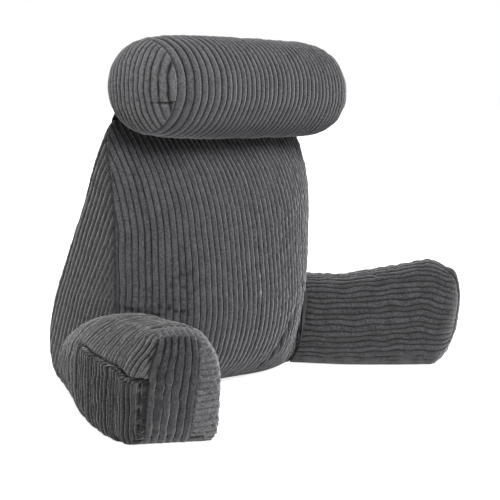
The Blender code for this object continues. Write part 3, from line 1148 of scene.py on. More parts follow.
def dome_height(name, share):
    """How far an arm's end stands out at shares of the way from its middle to its rim."""
    dome, dome_round, _ = ARM_ENDS[name]
    return dome * np.sqrt(np.maximum(1 - share ** (2 / dome_round), 0.0))


def cap_seam(name, level, scale):
    """Where the cap's outer seam lies at a level: its place ahead of the arm's end, and inward."""
    half, height = ARM_ROWS[name][-1][3:]
    inward = read_table(CAP_ROWS[name], np.clip(level / scale, 0, CAP_TOP))[0]
    return dome_height(name, end_share(name, inward, level / scale, half, height)), inward


def cap_places(at):
    """How far places lie inside the end cap, and where its side seams lie at their level."""
    outer, inner = read_table(CAP_ROWS[at.name], np.clip(at.level / at.scale, 0, CAP_TOP))
    start = at.length - CAP_BACK
    narrow = ease(at.station, start, at.length + CAP_POINT) if at.name == NARROW_ARM else 1.0
    inside = np.minimum(at.inward - outer * narrow, inner * narrow - at.inward)
    return np.minimum(inside, at.station - start), outer, inner


def wall_station(at):
    """Distance along the outer panel, level by level, as its wales stay upright round the end."""
    dome, dome_round, _ = ARM_ENDS[at.name]
    foot_fullness = FOOT_FULLNESS[at.name][1]
    waist = ARM_WAIST * at.height
    above = np.clip((at.level - waist) / (at.height - waist), 0.0, 0.98)
    below = np.clip((waist - at.level) / (waist + ARM_FOOT), 0.0, 0.98)
    width = np.where(
        at.level >= waist,
        (1 - above ** OUTER_FULLNESS) ** (1 / OUTER_FULLNESS),
        (1 - below ** foot_fullness) ** (1 / foot_fullness),
    )
    turn = np.linspace(0.0, math.pi / 2, WALL_SAMPLES)
    share = np.maximum(np.cos(turn), 0.0) ** dome_round
    half = ARM_ROWS[at.name][-1][3]
    arc = run(np.hypot(np.diff(share) * half, dome * np.diff(np.sin(turn))))
    across = np.clip(np.abs(at.inward) / (at.half * width), 0.0, 1.0)
    round_end = at.length + np.interp(1 - across, 1 - share, arc)
    return np.where(at.station > at.length, round_end, at.station)


def outer_wales(at):
    """Places across the outer panel's wales: upright below the dart, along the cap above it."""
    seam_ahead, seam_inward = cap_seam(at.name, at.level, at.scale)
    from_cap = np.hypot(at.length + seam_ahead - at.ahead, at.inward - seam_inward)
    dart_ahead = cap_seam(at.name, DART_TOP * at.scale, at.scale)[0]
    slant_near, slant_more = DART_SLANT
    slant = slant_near + slant_more * ease(at.length - at.ahead, *DART_SLANT_REACH)
    slanted = at.length + dart_ahead - from_cap - slant * np.maximum(at.above, 0.0)
    slanted = slanted + END_CROWDING * (CROWDING_REACH - np.minimum(from_cap, CROWDING_REACH))
    wall = at.wall + END_CROWDING * np.maximum(at.wall - at.length + CROWDING_REACH / 3, 0.0)
    upright = wall + (slanted - wall) * ease(at.above, *DART_BLEND)
    return np.where(at.zone == 2, upright, at.station)


class Places:
    """Places on an arm's cover, and the parts of it that they lie in.

    The station runs along the cloth and ahead along the arm itself. The zone is 0 on the inner
    panel, 1 on the foot and 2 on the outer panel and top band. The scale is the section's height,
    for that of the arm's end.
    """

    def __init__(self, arm, station, ahead, inward, level, from_seam, zone, half, height):
        self.name = arm.name
        self.length = length = arm.length
        self.station = station
        self.ahead = ahead
        self.inward = inward
        self.level = level
        self.from_seam = from_seam
        self.zone = zone
        self.half = half
        self.height = height
        self.scale = height / ARM_ROWS[arm.name][-1][4]
        self.in_cap, self.cap_outer, self.cap_inner = cap_places(self)
        self.wall = wall_station(self)
        self.above = level - read_table(DART_ROWS, length - self.wall)[0] * self.scale
        self.past_end = ease(station, length - END_TURN, length + END_TURN)
        self.is_inner = zone == 0
        self.is_outer = (zone == 2) & (inward < 0)
        self.beside_cap = self.in_cap < SEAM_EDGE
        self.below_dart = self.is_outer & (self.above <= 0)
        self.on_dart = (1 - ease(length - station, *DART_END)) * (self.is_outer & self.beside_cap)
        # The worn end's inner side: lower, puckered ribs, and painted light that lightens it.
        self.worn_and_lit = self.is_inner * self.past_end * (self.in_cap < 0) * (arm.name == WORN_AND_LIT_ARM)
        strip = (self.in_cap < 0) & (self.in_cap > -STRIP_WIDTH) & (station > length - CAP_BACK)
        self.puckered = strip * ease(level, *STRIP_FOOT) * self.below_dart


def gathers(at):
    """Uneven gathers along an arm's top seam, fading out away from it."""
    reach = ARM_GATHERS[at.name][1]
    return np.exp(-np.abs(at.from_seam) / reach) * sway(at.station, 0 * at.station, GATHER_SWAY)


def arm_piles(settings, at, gathered):
    """Height of the wales, and the height that the outer panel's would have everywhere."""
    pitch = settings.arm_pitch
    upright = outer_wales(at)
    inner_phase = (at.from_seam + sway(at.station, at.from_seam, INNER_SWAY)) / pitch
    inner_phase = inner_phase + ARM_GATHERS[at.name][0] * gathered / pitch
    outer_phase = (upright + sway(at.from_seam, upright, OUTER_SWAY)) / pitch
    cap_phase = (at.inward - at.cap_outer) / (at.cap_inner - at.cap_outer) * CAP_WALES
    cap_phase = cap_phase + sway(at.level, at.inward, CAP_SWAY)
    inner = uneven_wale(inner_phase, at.station, settings.wale_roundness, ARM_PILE[0])
    outer = uneven_wale(outer_phase, at.from_seam, settings.arm_roundness, ARM_PILE[1])
    cap = uneven_wale(cap_phase, at.level, settings.arm_roundness, ARM_PILE[2])
    return np.where(at.in_cap > 0, cap, np.where(at.is_inner, inner, outer)), outer


def arm_fade(at):
    """Distance from the nearest seam, and how much of the ribs' height is left."""
    on_seam = (at.station < at.length - CAP_BACK) | (at.inward > at.cap_inner)
    seam_distance = np.minimum(np.abs(at.in_cap), np.where(on_seam, np.abs(at.from_seam), 1.0))
    fade = ease(seam_distance, *ARM_SEAM_FADE) * ease(at.level, *ARM_FOOT_FADE)
    fade = fade * (1 - STRIP_SMOOTH * at.puckered) * (1 - WORN_SMOOTH * at.worn_and_lit)
    smooth = INNER_SMOOTH[at.name] * at.is_inner * ease(at.from_seam, *INNER_SMOOTH_REACH)
    return seam_distance, fade * (1 - smooth)


def dart_fold(above, pile):
    """Height of the cloth beside the dart: drawn in above it, standing out below it."""
    depth, rise, width = DART_FOLD
    sink, sink_reach = DART_SINK
    lip, lip_ribs, lip_reach = DART_LIP
    fold = -depth * bump(above - rise, width)
    fold -= sink * np.exp(-np.abs(above) / sink_reach) * (above > 0)
    fold += (lip + lip_ribs * pile) * np.exp(-np.abs(above) / lip_reach) * (above <= 0)
    return fold


def arm_relief(settings, at):
    """Height of the relief over an arm, and the pile's height with its painted shade and painted
    light.
    """
    gathered = gathers(at)
    pile, outer_pile = arm_piles(settings, at, gathered)
    seam_distance, fade = arm_fade(at)
    ribs = settings.wale_depth * ARM_RIBS * (1 + LOWER_RIBS * at.below_dart)
    relief = ribs * (1 + OUTER_RIBS * at.is_outer) * (pile - WALE_LEVEL) * fade
    relief -= settings.seam_depth * bump(seam_distance, SEAM_WIDTH) * ease(at.level, *ARM_SEAM_FOOT)
    relief += at.on_dart * dart_fold(at.above, outer_pile)
    pucker = sway(at.level, at.inward, STRIP_PUCKERS)
    pockets = press(at.inward, at.level / at.scale, STRIP_DENTS) * at.is_outer * at.beside_cap
    relief += at.puckered * pucker + pockets
    relief += at.worn_and_lit * sway(at.level, at.inward, WORN_PUCKERS)
    dents = press(at.station, at.from_seam, ARM_DENTS[at.name])
    relief += dents + at.is_inner * ARM_GATHERS[at.name][2] * gathered
    relief += sway(at.station, at.level + at.inward, ARM_LUMPS) * fade
    return relief, arm_shade(at, shaded(pile, fade), pucker, pockets)


def arm_shade(at, pile, pucker, pockets):
    """The pile's height with painted shade in the grooves, the dart's fold and the pockets, and
    painted light on the puckers and the worn end.
    """
    shade, shade_width = DART_SHADE
    lighter, lightest = PUCKER_SHADE
    pile = pile ** (1 + OUTER_GROOVE_SHADE * at.is_outer + CAP_GROOVE_SHADE * (at.in_cap > 0))
    pile = pile * (1 - shade * at.on_dart * bump(at.above - DART_FOLD[1], shade_width))
    pile = pile + at.puckered * (lighter * pucker + lightest) + at.worn_and_lit * WORN_END_PAINTED_LIGHT
    return np.clip(pile + POCKET_SHADE * pockets, 0.0, PILE_TOP)


def arm_tint(at):
    """How far the pile takes on the warmer tint over an arm."""
    inner, outer, cap = ARM_TINTS
    return np.where(at.in_cap > 0, cap, np.where(at.is_inner, inner, outer))


def arm_painted_shading(at):
    """Painted light and shade over an arm by panel, painted shade below the dart and painted light
    on the worn end's inner side.
    """
    least, more = LOWER_SHADE
    lower = least - more * ease(at.length - at.station, *LOWER_SHADE_REACH)
    low = 1 - ease(at.above, -LOWER_BLEND, LOWER_BLEND)
    outer = np.where(at.inward < 0, OUTER_PAINTED_SHADING - lower * low, OUTER_PAINTED_SHADING)
    inner = INNER_PAINTED_SHADING + INNER_END_PAINTED_LIGHT * at.past_end * (at.name == WORN_AND_LIT_ARM)
    return np.where(at.in_cap > 0, CAP_PAINTED_SHADING, np.where(at.is_inner, inner, outer))


def arm_points(middle, along, side, level, lean):
    """World points of places in an arm's own frame."""
    inward = np.stack([-along[..., 1], along[..., 0]], -1)
    flat = middle + inward * side[..., None] + along * lean[..., None]
    return np.concatenate([flat, level[..., None]], axis=-1)


def lengthened(values, count):
    """Values along an arm, with the last one repeated."""
    return np.concatenate([values, np.repeat(values[-1:], count, axis=0)])


class Arm:
    """An arm in the making: its cover, and the values along its middle line."""

    def __init__(self, name, settings):
        self.name = name
        self.settings = settings
        self.cover = Cover()
        rows = ARM_ROWS[name]
        pitch = settings.arm_pitch
        length_table = arm_length(rows)
        self.length = length_table[1][-1]
        self.hand = 1 if rows[0][1] < 0 else -1
        self.station = wale_columns(0, self.length / pitch) * pitch
        line = arm_line(rows, self.station, length_table)
        self.middle, self.along, self.half, self.height, self.lean = line
        self.waist = ARM_WAIST * self.height[-1]
        self.skew = END_SKEW[name] * ease(self.station, self.length - SKEW_REACH, self.length)
        self.dome, self.dome_round, dome_edge = ARM_ENDS[name]
        self.turn = np.radians(np.linspace(0, dome_edge, END_RINGS + 1)[1:])
        self.shrink = np.cos(self.turn) ** self.dome_round

    def sections(self):
        """Places round the arm's sections: inward, upward, distance from the top seam, zone."""
        start, stop = (share * self.length for share in FOOT_CHANGE)
        root_foot, foot = FOOT_FULLNESS[self.name]
        feet = root_foot + (foot - root_foot) * ease(self.station, start, stop)
        pitch = self.settings.arm_pitch
        columns = [
            section_columns(self.name, half, height, fullness, pitch)
            for half, height, fullness in zip(self.half, self.height, feet)
        ]
        side, level, from_seam, zone = (np.array(values) for values in zip(*columns))
        return side, level, from_seam, zone[0]

    def add_wrap(self):
        """Add the ringed wrap, with its rounded end: the last ring again, smaller, further out."""
        side, level, from_seam, zone = self.sections()
        shift = self.lean[:, None] * (2 * level / self.height[:, None] - 1)
        shift = shift + self.skew[:, None] * side
        shrink = self.shrink[:, None]
        out = np.sin(self.turn)
        steps = np.hypot(
            np.diff(self.shrink, prepend=1.0) * self.half[-1],
            self.dome * np.diff(out, prepend=0.0),
        )
        self.end_station = self.length + np.cumsum(steps)
        self.end_side = side[-1] * shrink
        self.end_level = self.waist + (level[-1] - self.waist) * shrink
        end_shift = shift[-1] * shrink + self.dome * out[:, None]
        self.seam_table = level[-1], from_seam[-1], (side[-1] > 0) & (from_seam[-1] >= 0)

        side = np.concatenate([side, self.end_side])
        level = np.concatenate([level, self.end_level])
        shift = np.concatenate([shift, end_shift])
        count = len(self.turn)
        middle, heading, from_seam, half, height = (
            lengthened(values, count)
            for values in (self.middle, self.along, from_seam, self.half, self.height)
        )
        follow = END_WALES[self.name]
        end_seam = follow * self.from_seam_at(self.end_level) + (1 - follow) * from_seam[-count:]
        from_seam[-count:] = np.where(zone == 0, end_seam, from_seam[-count:])
        base = arm_points(middle[:, None], heading[:, None], side * self.hand, level, shift)
        station = np.concatenate([self.station, self.end_station])[:, None] + 0 * side
        ahead = np.concatenate([self.station, self.length + self.dome * out])[:, None] + 0 * side
        zone = np.broadcast_to(zone, side.shape)
        at = Places(
            self, station, ahead, side, level, from_seam, zone, half[:, None], height[:, None]
        )
        relief, pile = arm_relief(self.settings, at)
        points = base - grid_normals(base, True) * self.hand * relief[..., None]
        points[..., 2] = np.maximum(points[..., 2], FLOOR)
        numbers = self.cover.add_grid(points, pile, arm_tint(at), arm_painted_shading(at), True)
        self.cover.close(numbers[0])
        return numbers[-1]

    def from_seam_at(self, level):
        """Distance below the top seam that wales at a level on the rounded end carry on from."""
        ring_level, ring_from_seam, inner = self.seam_table
        order = np.argsort(ring_level[inner])
        return np.interp(level, ring_level[inner][order], ring_from_seam[inner][order])

    def add_face(self, ring):
        """Add the end face, columns from the foot to the top inside the last ring."""
        half = self.half[-1]
        height = self.height[-1]
        side, level = end_columns(self.name, half, height, self.shrink[-1])
        share = end_share(self.name, side, level, half, height)
        out = dome_height(self.name, share)
        lean = 2 * (level - self.waist + share * self.waist) / height - share
        lean = self.lean[-1] * lean + self.skew[-1] * side
        base = arm_points(self.middle[-1], self.along[-1], side * self.hand, level, out + lean)
        station = self.end_station[-1] + (self.shrink[-1] - share) * half
        from_seam = np.where(side > 0, self.from_seam_at(level), FACE_FROM_SEAM)
        zone = np.where(side > 0, 0, 2)
        at = Places(
            self, station, self.length + out, side, level, from_seam, zone, half, height
        )
        relief, pile = arm_relief(self.settings, at)
        normals = turned_out(grid_normals(base, False), np.append(self.along[-1], 0.0))
        points = base + normals * relief[..., None]
        face = self.cover.add_grid(points, pile, arm_tint(at), arm_painted_shading(at), False)
        self.cover.stitch(
            ring, round_place(self.end_side[-1], self.end_level[-1] - self.waist),
            rim(face), rim(round_place(side, level - self.waist)),
        )


def build_arm(name, settings):
    """One stuffed arm: a ringed wrap, its rounded end, and the end cap stitched into it."""
    arm = Arm(name, settings)
    arm.add_face(arm.add_wrap())
    piece = sew(arm.cover, name, settings)
    trim_arm(piece, settings)
    finish_cushion(piece, name)


def end_columns(name, half, height, shrink):
    """Columns of points that fill the end inside its last ring, along the cap's leaning wales."""
    reach = half * shrink
    low, high = CAP_ROWS[name][0][1:]
    cap = low + wale_columns(0, CAP_WALES) * (high - low) / CAP_WALES
    outer_turn, inner_turn = (
        np.sin(np.linspace(0, 1, count + 1)[1:] * math.pi / 2) for count in FACE_COLUMNS
    )
    outer = low - (reach * FACE_RIM + low) * outer_turn
    inner = high + (reach * FACE_RIM - high) * inner_turn
    plain = np.concatenate([outer[::-1], cap, inner])
    rows = np.linspace(0, 1, END_LEVELS)[:, None]
    side = np.broadcast_to(plain, (END_LEVELS, len(plain)))
    for _ in range(FACE_PASSES):
        top, foot = ring_widths(name, half, height, shrink, side)
        level = foot + (top - foot) * rows
        cap_outer, cap_inner = read_table(CAP_ROWS[name], level)
        in_cap = cap_outer + (plain - low) * (cap_inner - cap_outer) / (high - low)
        outside = -reach + (plain + reach) * (cap_outer + reach) / (low + reach)
        inside = reach - (reach - plain) * (reach - cap_inner) / (reach - high)
        side = np.where(plain < low, outside, np.where(plain > high, inside, in_cap))
    return side, level


def pinch(piece, solid, depth):
    """Draw a cover in where it comes near a solid."""
    tree = BVHTree.FromObject(solid, bpy.context.evaluated_depsgraph_get())
    points, normals = points_and_normals(piece)
    for number, place in enumerate(points):
        near, facing, _, distance = tree.find_nearest(place, PINCH_REACH)
        if near is None or place[2] < PINCH_FOOT:
            continue
        if (Vector(place) - near).dot(facing) < 0:
            distance = 0.0
        points[number] -= normals[number] * depth * math.exp(-distance / PINCH_FADE)
    piece.data.vertices.foreach_set("co", points.ravel())


def grow(solid, gap):
    """Grow a solid all round, and down past the floor."""
    points, normals = points_and_normals(solid)
    grown = points + normals * gap
    grown[points[:, 2] < CUTTER_FOOT, 2] = FLOOR - CUTTER_SINK
    solid.data.vertices.foreach_set("co", grown.ravel())
    solid.data.update()


def trim_arm(piece, settings):
    """Draw the arm in where it meets the backrest, and cut its root away along the side panel."""
    solid = merged_copy(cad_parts["backrest"], "root_cutter")
    pinch(piece, solid, settings.root_pinch)
    grow(solid, crest_height(settings) + ROOT_GAP)
    cut = piece.modifiers.new("root", "BOOLEAN")
    cut.operation = "DIFFERENCE"
    cut.solver = "MANIFOLD"
    cut.object = solid
    apply_modifiers(piece)
    bpy.data.objects.remove(solid)


def points_and_normals(piece):
    """All of a mesh's points and their normals, as arrays."""
    count = len(piece.data.vertices)
    points = np.empty(count * 3)
    normals = np.empty(count * 3)
    piece.data.vertices.foreach_get("co", points)
    piece.data.vertex_normals.foreach_get("vector", normals)
    return points.reshape(-1, 3), normals.reshape(-1, 3)


def merged_copy(source, name):
    """A copy of a solid with its loose triangles merged."""
    mesh = source.data.copy()
    bm = bmesh.new()
    bm.from_mesh(mesh)
    bmesh.ops.remove_doubles(bm, verts=bm.verts, dist=MERGE_DISTANCE)
    bmesh.ops.recalc_face_normals(bm, faces=bm.faces)
    bm.to_mesh(mesh)
    bm.free()
    copy = new_piece(name, mesh)
    bpy.context.view_layer.update()
    return copy


def apply_modifiers(piece):
    """Apply a piece's modifiers to its mesh."""
    bpy.ops.object.select_all(action="DESELECT")
    piece.select_set(True)
    bpy.context.view_layer.objects.active = piece
    for modifier in list(piece.modifiers):
        bpy.ops.object.modifier_apply(modifier=modifier.name)


# ==== Neck roll ====
def add_tube(cover, settings):
    """The tube, ribbed over its shoulders too: its first and last rings, and places round them."""
    phase = wale_columns(0, ROLL_WALES)[:, None]
    along = read_table(ROLL_GROOVES, phase[:, 0])[0][:, None]
    turn = np.linspace(0, 2 * math.pi, ROLL_COLUMNS + 1)[:-1]
    phase = phase + 0 * turn
    seam = ROLL_HALF + ROLL_HEM - np.abs(along)
    around = np.cos(turn) * ROLL_SWAY_ROUND, np.sin(turn) * ROLL_SWAY_ROUND
    along = along + ease(seam, *ROLL_SWAY_FADE) * sway(*around, ROLL_SWAY)
    arc_share, radius_share, out_share, arc = dome_profile()
    over_share = 1 - np.maximum(np.abs(along) - ROLL_HALF, 0.0) / arc
    body = np.clip(along, -ROLL_HALF, ROLL_HALF)
    station = body + np.sign(along) * np.interp(over_share, arc_share, out_share) * ROLL_DOME
    radius = roll_radius(body) * np.interp(over_share, arc_share, radius_share)
    swells = sway(station, turn * ROLL_SWELL_ROUND, ROLL_SWELLS)
    radius = radius * (1 + swells * ease(seam, *ROLL_SWELL_FADE))
    base = spread(station, radius * np.cos(turn), radius * np.sin(turn))
    base[..., 0] -= ROLL_SAG * base[..., 2] * ease(body, *ROLL_SAG_FROM)

    pile = uneven_wale(phase, turn * ROLL_RADIUS, settings.roll_roundness, ROLL_PILE)
    fade = ease(seam, *SEAM_FADE)
    top = np.maximum(np.sin(turn), 0.0)
    least, more = ROLL_RIBS
    relief = settings.wale_depth * (least + more * top) * (pile - WALE_LEVEL) * fade
    relief -= settings.seam_depth * bump(seam, ROUND_SEAM_WIDTH)
    relief += sway(station, turn * ROLL_RADIUS, ROLL_LUMPS)
    normals = turned_out(grid_normals(base, True), spread(0.0, np.cos(turn), np.sin(turn)))
    points = move(base + normals * relief[..., None], roll_frame())
    # Painted groove shade, deeper on top, and painted light on top, painted shade underneath.
    pile = shaded(pile, fade) ** (1 + ROLL_GROOVE_SHADE_TOP * top)
    nap = ROLL_PAINTED_SHADING + ROLL_PAINTED_LIGHT_TOP * np.sin(turn)
    numbers = cover.add_grid(points, pile, ROLL_TINT, nap, True)
    return numbers[0], numbers[-1], turn / (2 * math.pi)


def stretched(forward):
    """How much of the disc's cloth is missing at places forward of its middle: the ribs widen."""
    return DISC_STRETCH * np.maximum(forward - DISC_STRETCH_FROM, 0.0) ** 2 / DISC_STRETCH_FROM


def add_disc(cover, settings, end, ring, ring_places):
    """A domed end disc: columns along its upright wales, stitched to the tube's last ring."""
    arc_share, radius_share, out_share, arc = dome_profile()
    pitch = settings.wale_pitch
    reach = 1 - ROLL_HEM / arc
    columns = wale_columns(0, DISC_RIM * reach * arc / pitch)
    across = np.concatenate([-columns[:0:-1], columns]) * pitch / arc
    up = np.linspace(-1, 1, DISC_LEVELS)[:, None] * np.sqrt(reach ** 2 - across ** 2)
    across = np.broadcast_to(across, up.shape)
    from_middle = np.maximum(np.hypot(across, up), 1e-6)
    radius = np.interp(from_middle, arc_share, radius_share) / from_middle
    out = np.interp(from_middle, arc_share, out_share) * ROLL_DOME
    end_radius = roll_radius(np.array([end * ROLL_HALF]))[0]
    y = end_radius * radius * across
    z = end_radius * radius * up
    base = spread(end * (ROLL_HALF + out) - ROLL_SAG * z * (end > 0), y, z)

    phase = (across * arc + stretched(-across * arc)) / pitch + sway(y, z, DISC_SWAY[end])
    pile = uneven_wale(phase, z, settings.roll_roundness, DISC_PILE)
    seam = (reach - from_middle) * arc
    fade = ease(seam, *SEAM_FADE)
    tuck = press(y, z, DISC_DENTS[end])
    relief = settings.wale_depth * DISC_RIBS * (pile - WALE_LEVEL) * fade
    relief -= settings.seam_depth * bump(seam, ROUND_SEAM_WIDTH)
    relief += tuck
    normals = turned_out(grid_normals(base, False), base)
    points = move(base + normals * relief[..., None], roll_frame())
    # Painted shadow in the tuck.
    pile = shaded(pile, fade) * np.clip(1 + tuck / DISC_TUCK_DEPTH, DISC_TUCK_SHADE, 1.0)
    face = cover.add_grid(points, pile, DISC_TINT, DISC_PAINTED_LIGHT, False)
    cover.stitch(ring, ring_places, rim(face), rim(round_place(across, up)))


def build_neck_roll(settings):
    """The stuffed tube, with a domed disc sewn into each end."""
    cover = Cover()
    first, last, places = add_tube(cover, settings)
    add_disc(cover, settings, -1, first, places)
    add_disc(cover, settings, 1, last, places)
    finish_cushion(sew(cover, "neck_roll", settings), "neck_roll")


# ==== Straps ====
def strap_route(side, leave_angle, land_height, gap):
    """Middle points and cross directions: down the roll's rear, then down the rear panel."""
    matrix = roll_frame()
    roll_axis = np.array(matrix.to_3x3() @ Vector((1, 0, 0)))
    along = side * STRAP_OFFSET
    radius = roll_radius(np.array([along]))[0] + gap + STRAP_THICK / 2
    angle = np.radians(np.linspace(STRAP_TOP_ANGLE, leave_angle, STRAP_STEPS))
    upper = move(spread(along, radius * np.cos(angle), radius * np.sin(angle)), matrix)
    height = np.linspace(land_height, STRAP_FOOT, STRAP_STEPS)
    table = read_table(BACK_ROWS, height)
    across = np.minimum((abs(along) - STRAP_WIDTH / 2) / table[0], 1.0)
    rear = table[3] + table[4] * (1 - across ** PANEL_FULLNESS) + gap + STRAP_THICK / 2
    route = np.concatenate([upper, spread(along, rear, height)])
    return route, np.repeat([roll_axis, [1.0, 0.0, 0.0]], STRAP_STEPS, axis=0)


def build_strap(name, side, leave_angle, land_height, settings):
    """A webbing strap: a flat grid laid along its route, given its thickness and soft edges."""
    gap = crest_height(settings) + STRAP_GAP
    route, cross = strap_route(side, leave_angle, land_height, gap)
    bpy.ops.object.select_all(action="DESELECT")
    bpy.ops.mesh.primitive_grid_add(
        x_subdivisions=STRAP_COLUMNS, y_subdivisions=len(route) * 2, size=1.0
    )
    piece = bpy.context.object
    piece.name = name + "_webbing"
    piece.data.name = piece.name
    stops = np.linspace(0, 1, len(route))
    for vertex in piece.data.vertices:
        down = vertex.co.y + 0.5
        middle = Vector([np.interp(down, stops, route[:, k]) for k in range(3)])
        sideways = Vector([np.interp(down, stops, cross[:, k]) for k in range(3)])
        vertex.co = middle + sideways * (vertex.co.x * STRAP_WIDTH)
    thick = piece.modifiers.new("thickness", "SOLIDIFY")
    thick.thickness = STRAP_THICK
    thick.offset = 0.0
    soft = piece.modifiers.new("edges", "BEVEL")
    soft.width = STRAP_EDGE
    soft.segments = STRAP_EDGE_STEPS
    apply_modifiers(piece)
    piece.data.shade_smooth()
    piece.data.materials.append(shared_material("twill_webbing", make_webbing, settings))
    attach(piece, BODY)
    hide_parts(name)


# ==== Studio ====
def make_light_table(studio):
    """A plain pale floor lit from within, so that the pillow's shadow on it stays faint."""
    material, tree, shader = new_material("pale_floor", roughness=0.9, specular=0.1)
    shader.inputs["Base Color"].default_value = (*studio.floor_colour, 1.0)
    shader.inputs["Emission Color"].default_value = (1.0, 1.0, 1.0, 1.0)
    link_seen(tree, studio.floor_glow, studio.floor_seen_glow, shader.inputs["Emission Strength"])
    return material


def link_seen(tree, strength, seen_strength, socket):
    """Give a light its strength on the pillow and the strength that is seen directly."""
    seen = new_node(tree, "LightPath")
    either = new_node(tree, "MapRange", To_Min=strength, To_Max=seen_strength)
    tree.links.new(seen.outputs["Is Camera Ray"], either.inputs["Value"])
    tree.links.new(either.outputs["Result"], socket)
    return either


def direction(azimuth, elevation):
    """From the pillow towards a place, in degrees round from its front and up from level."""
    round_angle = math.radians(azimuth)
    up_angle = math.radians(elevation)
    return Vector((
        math.sin(round_angle) * math.cos(up_angle),
        -math.cos(round_angle) * math.cos(up_angle),
        math.sin(up_angle),
    ))


def place_and_aim(name, data, target, azimuth, elevation, distance):
    """An object at a distance from a target, aimed at it."""
    piece = new_piece(name, data)
    piece.location = target + direction(azimuth, elevation) * distance
    piece.rotation_euler = (target - piece.location).to_track_quat("-Z", "Y").to_euler()
    return piece


def add_light(name, studio):
    """One wide soft light, the same over the pillow and the floor far behind it."""
    azimuth, elevation, angle, strength = (
        getattr(studio, name + part) for part in ("_azimuth", "_elevation", "_spread", "_strength")
    )
    data = bpy.data.lights.new(name, "SUN")
    data.energy = strength
    data.angle = math.radians(angle)
    place_and_aim(name, data, Vector(studio.target), azimuth, elevation, LIGHT_DISTANCE)


def build_floor(studio):
    """A wide pale floor just under the pillow."""
    bpy.ops.object.select_all(action="DESELECT")
    bpy.ops.mesh.primitive_circle_add(
        vertices=FLOOR_SIDES, radius=studio.floor_radius, fill_type="NGON",
        location=(0, 0, FLOOR - FLOOR_GAP),
    )
    floor = bpy.context.object
    floor.name = "floor"
    floor.data.materials.append(make_light_table(studio))


def build_surround(studio):
    """An even white surround that gives more light from above than from low down."""
    world = bpy.data.worlds.new("studio")
    world.use_nodes = True
    tree = world.node_tree
    surround = tree.nodes["Background"]
    surround.inputs["Color"].default_value = (1.0, 1.0, 1.0, 1.0)
    around = link_seen(tree, studio.surround, 1.0, surround.inputs["Strength"])
    place = new_node(tree, "TexCoord")
    split = new_node(tree, "SeparateXYZ")
    rise = new_node(tree, "MapRange", To_Min=studio.surround, To_Max=studio.surround_top)
    tree.links.new(place.outputs["Generated"], split.inputs["Vector"])
    tree.links.new(split.outputs["Z"], rise.inputs["Value"])
    tree.links.new(rise.outputs["Result"], around.inputs["To Min"])
    bpy.context.scene.world = world


def build_camera(studio):
    """The camera, aimed at the pillow."""
    data = bpy.data.cameras.new("camera")
    data.lens = studio.lens
    data.sensor_width = SENSOR_WIDTH
    bpy.context.scene.camera = place_and_aim(
        "camera", data, Vector(studio.target), studio.azimuth, studio.elevation, studio.distance
    )


def build_stage(studio):
    """The floor, the surround, the soft lights and the camera."""
    build_floor(studio)
    build_surround(studio)
    bpy.context.scene.view_settings.view_transform = "Standard"
    add_light("key", studio)
    add_light("fill", studio)
    build_camera(studio)


# ==== Add-on ====
def number(name, description, default, **limits):
    """A number in the panel."""
    return FloatProperty(name=name, description=description, default=default, **limits)


def measure(name, description, default, low, high):
    """A length in the panel, in metres."""
    return number(name, description, default, min=low, max=high, unit="LENGTH")


def colour_of(name, description, default):
    """A colour in the panel."""
    return FloatVectorProperty(name=name, description=description, default=default, size=3,
                               min=0.0, max=1.0, subtype="COLOR")


class PillowSettings(bpy.types.PropertyGroup):
    """Sizes and colours of the corduroy covers and the straps."""

    wale_pitch: measure("Wale pitch", "Width of one rib of the corduroy", 0.01135, 0.004, 0.03)
    arm_pitch: measure(
        "Arm wale pitch", "Width of one rib on the arms, where the cloth is drawn in",
        0.0115, 0.004, 0.03)
    wale_depth: measure(
        "Wale depth", "Height of a rib from its grooves to its crest",
        0.0042, 0.0, 0.008)
    wale_roundness: number(
        "Wale fullness", "Higher makes the ribs flatter and their grooves narrower",
        3.0, min=1.5, max=10.0)
    arm_roundness: number(
        "Arm wale fullness", "The same for the outer side and the ends of the arms",
        2.2, min=1.5, max=10.0)
    roll_roundness: number(
        "Roll wale fullness", "The same for the neck roll",
        2.2, min=1.5, max=10.0)
    seam_depth: measure("Seam depth", "How far the seams are drawn in", 0.0016, 0.0, 0.01)
    root_pinch: measure(
        "Root pinch", "How far an arm is drawn in where it meets the backrest",
        0.0035, 0.0, 0.02)
    sheen: number(
        "Sheen", "Strength of the light that the pile catches at its edges",
        0.55, min=0.0, max=1.0)
    sheen_roughness: number(
        "Sheen roughness", "Spread of that light over the pile",
        0.45, min=0.05, max=1.0)
    colour: colour_of("Corduroy", "Colour of the pile along the ribs", (0.068, 0.068, 0.068))
    webbing_colour: colour_of("Webbing", "Colour of the straps", (0.008, 0.008, 0.009))


